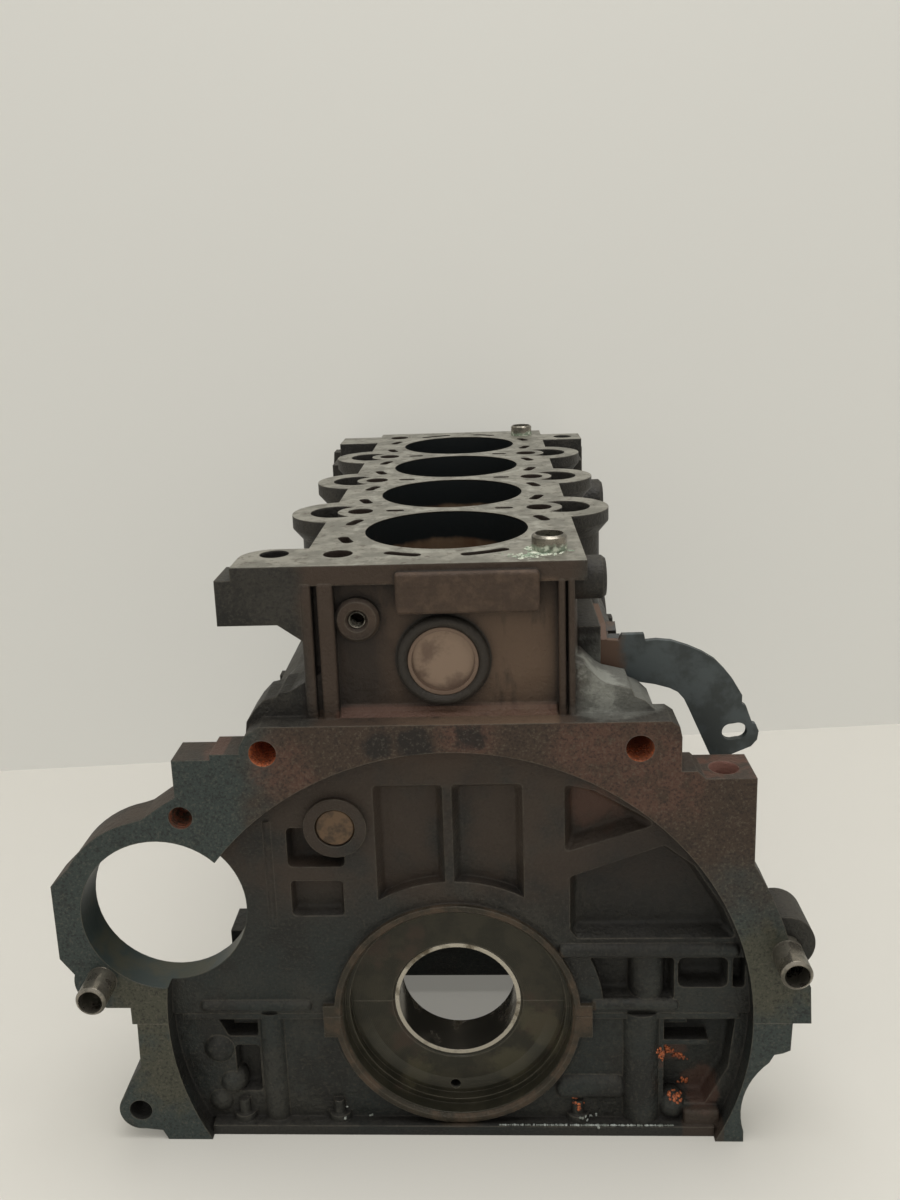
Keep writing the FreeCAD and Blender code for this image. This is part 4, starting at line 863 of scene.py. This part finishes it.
    def iron(self) -> bpy.types.Material:
        """Make the block's material.

        Returns:
            The finished material.
        """
        surface = Surface("grey_iron_sand_cast_and_milled", Iron.SKIN)
        self.skin(surface)
        end = self.at_flywheel_end(surface)
        bell = surface.both(end, surface.between(surface.z, self.bell_film_z, 12),
                            surface.scatter(28, 6, 0.6, 0.46, 0.12))
        surface.lay(bell, Iron.BROWN_FILM, 0.55)
        corner = surface.stains(self.red_corner, surface.cloud(9, 5, 0.65))
        surface.lay(surface.both(corner, end), Iron.MILLED_RED, 0.6)
        surface.lay(surface.both(end, surface.stains(self.shaded_pocket, surface.cloud(30))), Iron.SOOT_AND_SHADE, 0.55)
        self.rear_wall(surface)
        self.shoulder(surface)
        bored = self.seal_bore(surface)
        face = self.milled_face(surface)
        self.mottle(surface, face)
        starter = surface.both(surface.below(surface.radius(self.starter), self.starter_radius + 0.3), end)
        surface.lay(starter, Iron.MILLED)
        surface.lay(surface.both(starter, surface.above(surface.cloud(14, 5), 0.52, 0.1)), Iron.OLIVE, 0.5)
        self.slots(surface)
        honed = self.bores(surface)
        ground = self.deck_face(surface)
        self.holes(surface)
        self.rub(surface)
        machined = surface.either(face, bored, honed, ground, starter)
        return surface.finish(self.relief(surface, machined), 0.3)

    def build(self) -> None:
        """Dress the block."""
        dress(["cylinder_block"], self.iron())


@dataclass
class Bedplate(Casting):
    """The lower casting: sand-cast grey iron under old oil, rusting in one pocket."""

    rust_spots: tuple = (Stain((98.0, -27.0), 6.0, 6, 2), Stain((111.0, -43.5), 7.5, 6, 2))
    # the small block cast in the lower right corner: its stretch in x, its top and its front
    foot_x: Pair = (101, 119)
    foot_top: float = -49.0
    foot_front: float = -190.0

    def iron(self) -> bpy.types.Material:
        """Make the bedplate's material.

        Returns:
            The finished material.
        """
        surface = Surface("grey_iron_bedplate", Iron.SKIN)
        self.skin(surface)
        bored = self.seal_bore(surface)
        face = self.milled_face(surface)
        self.mottle(surface, face)
        fleck = surface.cloud(5, 5, 0.65)
        for spot in self.rust_spots:
            surface.lay(surface.both(surface.stains([spot], fleck), self.at_flywheel_end(surface)),
                        Iron.MILLED_RED, 0.5)
        foot = surface.both(surface.between(surface.x, self.foot_x, 0.5), surface.below(surface.z, self.foot_top, 0.5),
                            surface.below(surface.y, self.foot_front, 1))
        surface.lay(foot, Iron.BROWN_FILM, 0.6)
        self.rub(surface)
        machined = surface.either(face, bored)
        return surface.finish(self.relief(surface, machined), 0.3)

    def build(self) -> None:
        """Dress the bedplate."""
        dress(["bedplate"], self.iron())


# ------------------------------------------------------------------ small pieces


@dataclass
class SmallPieces:
    """Shells, dowels, plugs, bolts and the bracket."""

    mains: int = 5
    left_plugs: int = 3
    right_plugs: int = 2
    head_face: float = place_mm("deck_face").z
    # millimetres: height of the crust on a head dowel, end of the bracket's brown root, radius of a plug's dish
    crust_height: float = 2.4
    bracket_root: float = 77.0
    plug_dish: float = 12.9

    def dowel_steel(self) -> bpy.types.Material:
        """Make turned steel: bright where it is rubbed, crusted green and white where it leaves the head face.

        Returns:
            The finished material.
        """
        surface = spotted("turned_steel_dowel", Steel.TURNED, Steel.TURNED_DARK, 7, 0.5)
        level = surface.ragged(surface.z, surface.cloud(3.5, 5), 4)
        crust = surface.both(surface.above(surface.z, self.head_face - 1),
                             surface.below(level, self.head_face + self.crust_height, 1))
        surface.lay(crust, Steel.CRUST_GREEN, 0.8)
        surface.lay(surface.both(crust, surface.above(surface.cloud(2), 0.55, 0.08)), Steel.CRUST)
        return surface.finish()

    def bracket_steel(self) -> bpy.types.Material:
        """Make grey plated pressed steel, brown at its root.

        Returns:
            The finished material.
        """
        surface = spotted("plated_pressed_steel", Steel.BRACKET, Steel.BRACKET_DARK, 18, 0.45)
        root = surface.below(surface.ragged(surface.x, surface.cloud(6), 5), self.bracket_root, 3)
        surface.lay(root, Steel.BRACKET_ROOT)
        return surface.finish(0.5)

    def plug_steel(self) -> bpy.types.Material:
        """Make zinc-plated pressed steel: pale dish, browner rim.

        Returns:
            The finished material.
        """
        surface = spotted("zinc_plated_core_plug", Steel.PLUG, Steel.PLUG_DARK, 14, 0.35)
        rim = surface.above(surface.radius(REAR_PLUG), self.plug_dish, 0.3)
        surface.lay(surface.both(surface.below(surface.y, FLYWHEEL_END, 1), rim), Steel.PLUG_DARK, 0.8)
        return surface.finish(0.5)

    def build(self) -> None:
        """Dress them all."""
        halves = [f"main_shell_{half}_{number + 1}" for half in ("upper", "lower") for number in range(self.mains)]
        plugs = ["core_plug_rear"] + [f"core_plug_left_{number + 1}" for number in range(self.left_plugs)]
        plugs += [f"core_plug_right_{number + 1}" for number in range(self.right_plugs)]
        dress(halves, spotted("rubbed_bearing_metal", Steel.BEARING, Steel.BEARING_DARK, 15, 0.3).finish())
        dress(["head_dowel_flywheel_end", "head_dowel_timing_end", "bell_dowel_left", "bell_dowel_right"],
              self.dowel_steel())
        dress(plugs, self.plug_steel())
        dress(["gallery_plug_rear", "gallery_plug_front"],
              spotted("passivated_gallery_plug", Steel.GALLERY, Steel.GALLERY_DARK, 6, 0.45).finish())
        dress(["main_bolts", "rail_bolts", "bracket_screws"],
              spotted("phosphated_bolt_steel", Steel.BLACK, Steel.BLACK_RUST, 7, 0.35).finish())
        dress(["pipe_bracket"], self.bracket_steel())


# ------------------------------------------------------------------ threads


@dataclass
class Thread:
    """A cut thread standing on a hole's wall: centre is (x, z), and mouth the y where it starts."""

    name: str
    centre: Pair
    hole_mm: float
    depth_mm: float
    pitch_mm: float
    mouth_mm: float
    length_mm: float
    # sections in a turn, half a ridge's foot as a share of the pitch, and how deep the foot stands in the wall
    steps: int = 28
    half_foot: float = 0.45
    bite_mm: float = 0.05

    def build(self, material: bpy.types.Material) -> None:
        """Sweep a three-sided ridge along a helix about the hole's axis, which runs along +Y.

        Args:
            material: What it is cut in.
        """
        made = bmesh.new()
        turns = self.length_mm / self.pitch_mm
        sections = []
        count = int(turns * self.steps)
        for index in range(count + 1):
            angle = 2 * math.pi * index / self.steps
            along = self.mouth_mm + self.pitch_mm * index / self.steps
            fade = min(1.0, index / self.steps, (count - index) / self.steps)
            foot = self.hole_mm + self.bite_mm
            ridge = []
            for offset, radius in ((-self.half_foot, foot), (0, self.hole_mm - self.depth_mm * fade),
                                   (self.half_foot, foot)):
                spot = Vector((self.centre[0] + radius * math.cos(angle), along + offset * self.pitch_mm,
                               self.centre[1] + radius * math.sin(angle)))
                ridge.append(made.verts.new(spot * MM))
            sections.append(ridge)
        for near, far in zip(sections, sections[1:]):
            for first in range(3):
                second = (first + 1) % 3
                made.faces.new((near[first], near[second], far[second], far[first]))
        made.faces.new(sections[0])
        made.faces.new(reversed(sections[-1]))
        bmesh.ops.recalc_face_normals(made, faces=made.faces)
        mesh = bpy.data.meshes.new(self.name)
        made.to_mesh(mesh)
        made.free()
        add_piece(self.name, mesh, material)


# ------------------------------------------------------------------ deposits


@dataclass
class Deposits:
    """Rust grains, coolant crust and sealant that lie on the castings."""

    seed: int = 11
    # start and end of each streak of rust grains on the bedplate (x, z), its half width and how many grains
    streaks: tuple = (
        ((90.5, -20.5), (97.0, -27.5), 2.2, 60),
        ((96.0, -28.0), (106.0, -33.0), 1.2, 26),
        ((96.5, -45.0), (101.5, -46.0), 2.0, 30),
        ((103.0, -44.0), (106.0, -44.5), 1.4, 12),
        ((52.0, -46.0), (56.0, -49.0), 1.6, 18),
    )
    # holes of the flange with loose rust on their lower walls (x, z, radius), how many grains, and how deep they lie
    rusty_holes: tuple = ((-78.2, 131.0, 5.9), (80.3, 131.0, 5.9))
    hole_grains: int = 90
    hole_depth: Pair = (-197, -184)
    # crust round the dowel's foot, and beside it on the head face as far as its edge
    foot_grains: int = 150
    face_grains: int = 110
    face_middle: Pair = (35, -180.5)
    face_edge: float = -189.0
    # the bead's stretch in x, its place (y, z) over the foot of the wall, and its blobs (x, z, how many grains)
    sealant_line: Pair = (18.0, 97.0)
    sealant_place: Pair = (-193.6, -50)
    sealant_share: float = 0.86
    sealant_blobs: tuple = ((56, -53.5, 5), (60, -56, 9), (-54, -53.5, 3), (-44, -56, 3))
    # the y in front of the part that lines start from
    in_front: float = -260.0

    def __post_init__(self) -> None:
        """Start the random draws."""
        self.draw = random.Random(self.seed)

    def grain(self, made: bmesh.types.BMesh, place: Vector, size_mm: float, flat: float, up: Vector = UP) -> None:
        """Add one uneven grain.

        Args:
            made: The mesh under construction.
            place: Its middle.
            size_mm: Its radius.
            flat: Its height as a share of its width.
            up: The way its height points.
        """
        turn = up.to_track_quat("Z", "Y").to_matrix().to_4x4()
        scale = Matrix.Diagonal((size_mm * MM, size_mm * MM * self.draw.uniform(0.7, 1.1), size_mm * MM * flat, 1))
        spin = Matrix.Rotation(self.draw.uniform(0, math.tau), 4, "Z")
        shape = Matrix.Translation(place) @ turn @ spin @ scale
        ball = bmesh.ops.create_icosphere(made, subdivisions=2, radius=1.0, matrix=shape)
        for vert in ball["verts"]:
            vert.co = place + (vert.co - place) * self.draw.uniform(0.82, 1.12)

    def finish(self, name: str, made: bmesh.types.BMesh, material: bpy.types.Material, slot: str) -> None:
        """Turn a mesh under construction into a piece.

        Args:
            name: The piece's name.
            made: The mesh under construction.
            material: What it is made of.
            slot: Not used.
        """
        mesh = bpy.data.meshes.new(name)
        made.to_mesh(mesh)
        made.free()
        add_piece(name, mesh, material)

    def rust_grains(self, material: bpy.types.Material) -> None:
        """Strew coppery grains on the bedplate's wall and in the bolt holes of the flange.

        Args:
            material: What they are made of.
        """
        wall = bmesh.new()
        for start, end, half, count in self.streaks:
            for _ in range(count):
                share = self.draw.random()
                x = start[0] + (end[0] - start[0]) * share + self.draw.gauss(0, half / 2)
                z = start[1] + (end[1] - start[1]) * share + self.draw.gauss(0, half / 2)
                found = landing("bedplate", Vector((x, self.in_front, z)) * MM, ALONG)
                if found:
                    self.grain(wall, found[0], self.draw.uniform(0.35, 0.95), 0.6, found[1])
        self.finish("rust_grains_on_bedplate", wall, material, "bedplate_iron")
        holes = bmesh.new()
        for x, z, radius in self.rusty_holes:
            for _ in range(self.hole_grains):
                angle = math.radians(self.draw.gauss(-90, 45))
                way = Vector((math.cos(angle), 0, math.sin(angle)))
                place = Vector((x, self.draw.uniform(*self.hole_depth), z)) + way * (radius - 0.1)
                self.grain(holes, place * MM, self.draw.uniform(0.25, 0.6), 0.6, -way)
        self.finish("rust_grains_in_bolt_holes", holes, material, "block_iron")

    def crust(self, material: bpy.types.Material) -> None:
        """Crust the foot of the flywheel-end head dowel and the head face beside it.

        Args:
            material: What the crust is made of.
        """
        made = bmesh.new()
        dowel = place_mm("head_dowel_flywheel_pin")
        deck = place_mm("deck_face").z
        reach = radius_mm("head_dowel_flywheel_pin")
        for _ in range(self.foot_grains):
            angle = math.radians(self.draw.gauss(215, 55))
            spread = reach + abs(self.draw.gauss(0, 1.6))
            spot = Vector((dowel.x + spread * math.cos(angle), dowel.y + spread * math.sin(angle), deck))
            self.grain(made, spot * MM, self.draw.uniform(0.3, 0.9), 0.35)
        for _ in range(self.face_grains):
            spot = Vector((self.draw.gauss(self.face_middle[0], 3.0), self.draw.gauss(self.face_middle[1], 2.6), deck))
            if spot.y > self.face_edge:
                self.grain(made, spot * MM, self.draw.uniform(0.25, 0.8), 0.3)
        self.finish("coolant_crust", made, material, "dowel_steel")

    def sealant(self, material: bpy.types.Material) -> None:
        """Lay a broken bead of sealant along the foot of the bedplate's wall, with blobs beside it.

        Args:
            material: What it is made of.
        """
        made = bmesh.new()
        x = self.sealant_line[0]
        while x < self.sealant_line[1]:
            found = landing("bedplate", Vector((x, *self.sealant_place)) * MM, -UP)
            if found and self.draw.random() < self.sealant_share:
                self.grain(made, found[0], self.draw.uniform(0.3, 0.75), 0.7)
            x += self.draw.uniform(0.5, 1.1)
        for x, z, count in self.sealant_blobs:
            for _ in range(count):
                spot = Vector((x + self.draw.gauss(0, 1.6), self.in_front, z + self.draw.gauss(0, 0.7)))
                found = landing("bedplate", spot * MM, ALONG)
                if found:
                    self.grain(made, found[0], self.draw.uniform(0.4, 0.9), 0.5, found[1])
        self.finish("sealant_bead", made, material, "bedplate_iron")

    def build(self) -> None:
        """Lay every deposit."""
        copper = spotted("copper_brown_rust_grains", Steel.COPPER_GRAIN, Steel.COPPER_DARK, 1.6, 0.5)
        self.rust_grains(copper.finish(0.1))
        crust = spotted("coolant_mineral_crust", Steel.CRUST, Steel.CRUST_GREEN, 4, 0.5)
        self.crust(crust.finish(0.1))
        sealant = spotted("silicone_sealant", Steel.SEALANT, Steel.SEALANT_DIRT, 5, 0.5)
        self.sealant(sealant.finish(0.1))


# ------------------------------------------------------------------ stage, light and camera


@dataclass(frozen=True)
class Board:
    """A matt painted board: its sRGB colour under the lamps, the one that the eye sees on it, and that one's share."""

    name: str
    colour: str
    seen: str
    share: float
    roughness: float = 0.75


@dataclass
class Workshop:
    """Pale bench against a pale wall, under even light."""

    # the bench lies a hair under the block, so that the two faces don't flicker
    floor: float = (place_mm("sump_face").z - 0.2) * MM
    wall_left: Pair = (-0.35, 0.188)
    wall_right: Pair = (0.36, 0.2507)
    reach: float = 3.0
    wall_height: float = 2.5
    bench: Board = Board("painted_bench_board", "#d2cfc7", "#cfccc2", 0.25)
    wall: Board = Board("painted_wall_board", "#dad8d1", "#cdcbc2", 0.6)
    air_colour: str = "#fffdf8"
    air_strength: float = 0.72
    lamp_place: tuple = (0.1, -0.15, 1.6)
    lamp_target: tuple = (0, 0.08, 0.1)
    lamp_size: float = 1.2
    lamp_watts: float = 20.0

    def paint(self, board: Board) -> bpy.types.Material:
        """Make a board's material, which looks evenly lit and can be looked through from its back.

        Args:
            board: The board.

        Returns:
            The material.
        """
        material = bpy.data.materials.new(board.name)
        material.use_nodes = True
        tree = material.node_tree
        shader = tree.nodes["Principled BSDF"]
        shader.inputs["Base Color"].default_value = srgb(board.colour)
        shader.inputs["Roughness"].default_value = board.roughness
        rays = add_node(tree, "ShaderNodeLightPath").node.outputs
        seen = add_node(tree, "ShaderNodeMath", {0: rays["Is Camera Ray"], 1: rays["Is Glossy Ray"]},
                        operation="MAXIMUM")
        part = add_node(tree, "ShaderNodeMath", {0: seen, 1: board.share}, operation="MULTIPLY")
        glow = add_node(tree, "ShaderNodeEmission", {"Color": srgb(board.seen)})
        front = add_node(tree, "ShaderNodeMixShader", {0: part, 1: shader.outputs[0], 2: glow})
        back = add_node(tree, "ShaderNodeNewGeometry", output="Backfacing")
        clear = add_node(tree, "ShaderNodeBsdfTransparent")
        sides = add_node(tree, "ShaderNodeMixShader", {0: back, 1: front, 2: clear})
        tree.links.new(sides, tree.nodes["Material Output"].inputs["Surface"])
        return material

    def sheet(self, name: str, corners: Sequence[Vector], board: Board) -> None:
        """Put one flat sheet on the stage.

        Args:
            name: Its name.
            corners: Its four corners.
            board: What it is made of.
        """
        mesh = bpy.data.meshes.new(name)
        mesh.from_pydata([tuple(corner) for corner in corners], [], [(0, 1, 2, 3)])
        mesh.materials.append(self.paint(board))
        made = bpy.data.objects.new(name, mesh)
        bpy.context.scene.collection.objects.link(made)

    def hang_lamp(self) -> None:
        """Hang a soft square lamp over the bench."""
        data = bpy.data.lights.new("ceiling_panel", "AREA")
        data.size = self.lamp_size
        data.energy = self.lamp_watts
        lamp = bpy.data.objects.new("ceiling_panel", data)
        lamp.location = self.lamp_place
        lamp.rotation_mode = "QUATERNION"
        way = Vector(self.lamp_target) - Vector(self.lamp_place)
        lamp.rotation_quaternion = way.to_track_quat("-Z", "Y")
        bpy.context.scene.collection.objects.link(lamp)

    def build(self) -> None:
        """Build the stage and light it."""
        left, right = Vector((*self.wall_left, self.floor)), Vector((*self.wall_right, self.floor))
        along = (right - left).normalized() * self.reach
        start, end, up = left - along, right + along, UP * self.wall_height
        front = [Vector((-self.reach, -self.reach, self.floor)), Vector((self.reach, -self.reach, self.floor))]
        self.sheet("bench", [*front, end, start], self.bench)
        self.sheet("wall", [start, end, end + up, start + up], self.wall)
        world = bpy.data.worlds.new("workshop_air")
        world.use_nodes = True
        air = world.node_tree.nodes["Background"]
        air.inputs["Color"].default_value = srgb(self.air_colour)
        air.inputs["Strength"].default_value = self.air_strength
        bpy.context.scene.world = world
        self.hang_lamp()


@dataclass
class Viewpoint:
    """Camera a little above the flywheel end, looking along the crank."""

    place: tuple = (0.0202, -0.6023, 0.3226)
    across: tuple = (0.99844, 0.04306, -0.03544)
    up: tuple = (0.02523, 0.21787, 0.97566)
    sensor_mm: float = 36.0
    lens_mm: float = 31.335
    shift: Pair = (0.0105, -0.0713)
    clip: Pair = (0.01, 20)

    def build(self) -> None:
        """Set the camera up."""
        data = bpy.data.cameras.new("camera")
        data.sensor_width = self.sensor_mm
        data.lens = self.lens_mm
        data.shift_x, data.shift_y = self.shift
        data.clip_start, data.clip_end = self.clip
        across, up = Vector(self.across), Vector(self.up)
        turn = Matrix((across, up, across.cross(up))).transposed().to_4x4()
        camera = bpy.data.objects.new("camera", data)
        camera.matrix_world = Matrix.Translation(self.place) @ turn
        bpy.context.scene.collection.objects.link(camera)
        bpy.context.scene.camera = camera


def main() -> None:
    """Dress the model and set the scene."""
    bpy.context.scene.view_settings.view_transform = "Standard"
    CylinderBlock().build()
    Bedplate().build()
    SmallPieces().build()
    bright = spotted("freshly_cut_iron_thread", Steel.TURNED, Steel.TURNED_DARK, 3, 0.4).finish(0.1)
    rusty = spotted("rusty_iron_thread", Steel.COPPER_DARK, Steel.BLACK_RUST, 2, 0.5).finish(0.1)
    Thread("rear_boss_thread", centre=(-36.3, 186.0), hole_mm=3.4, depth_mm=0.45, pitch_mm=1.25, mouth_mm=-187.6,
           length_mm=9.0).build(bright)
    Thread("starter_bolt_thread", centre=(-115.9, 101.8), hole_mm=5.2, depth_mm=0.6, pitch_mm=1.5, mouth_mm=-196.4,
           length_mm=15.0).build(rusty)
    Deposits().build()
    Workshop().build()
    Viewpoint().build()


if __name__ == "__main__":
    main()
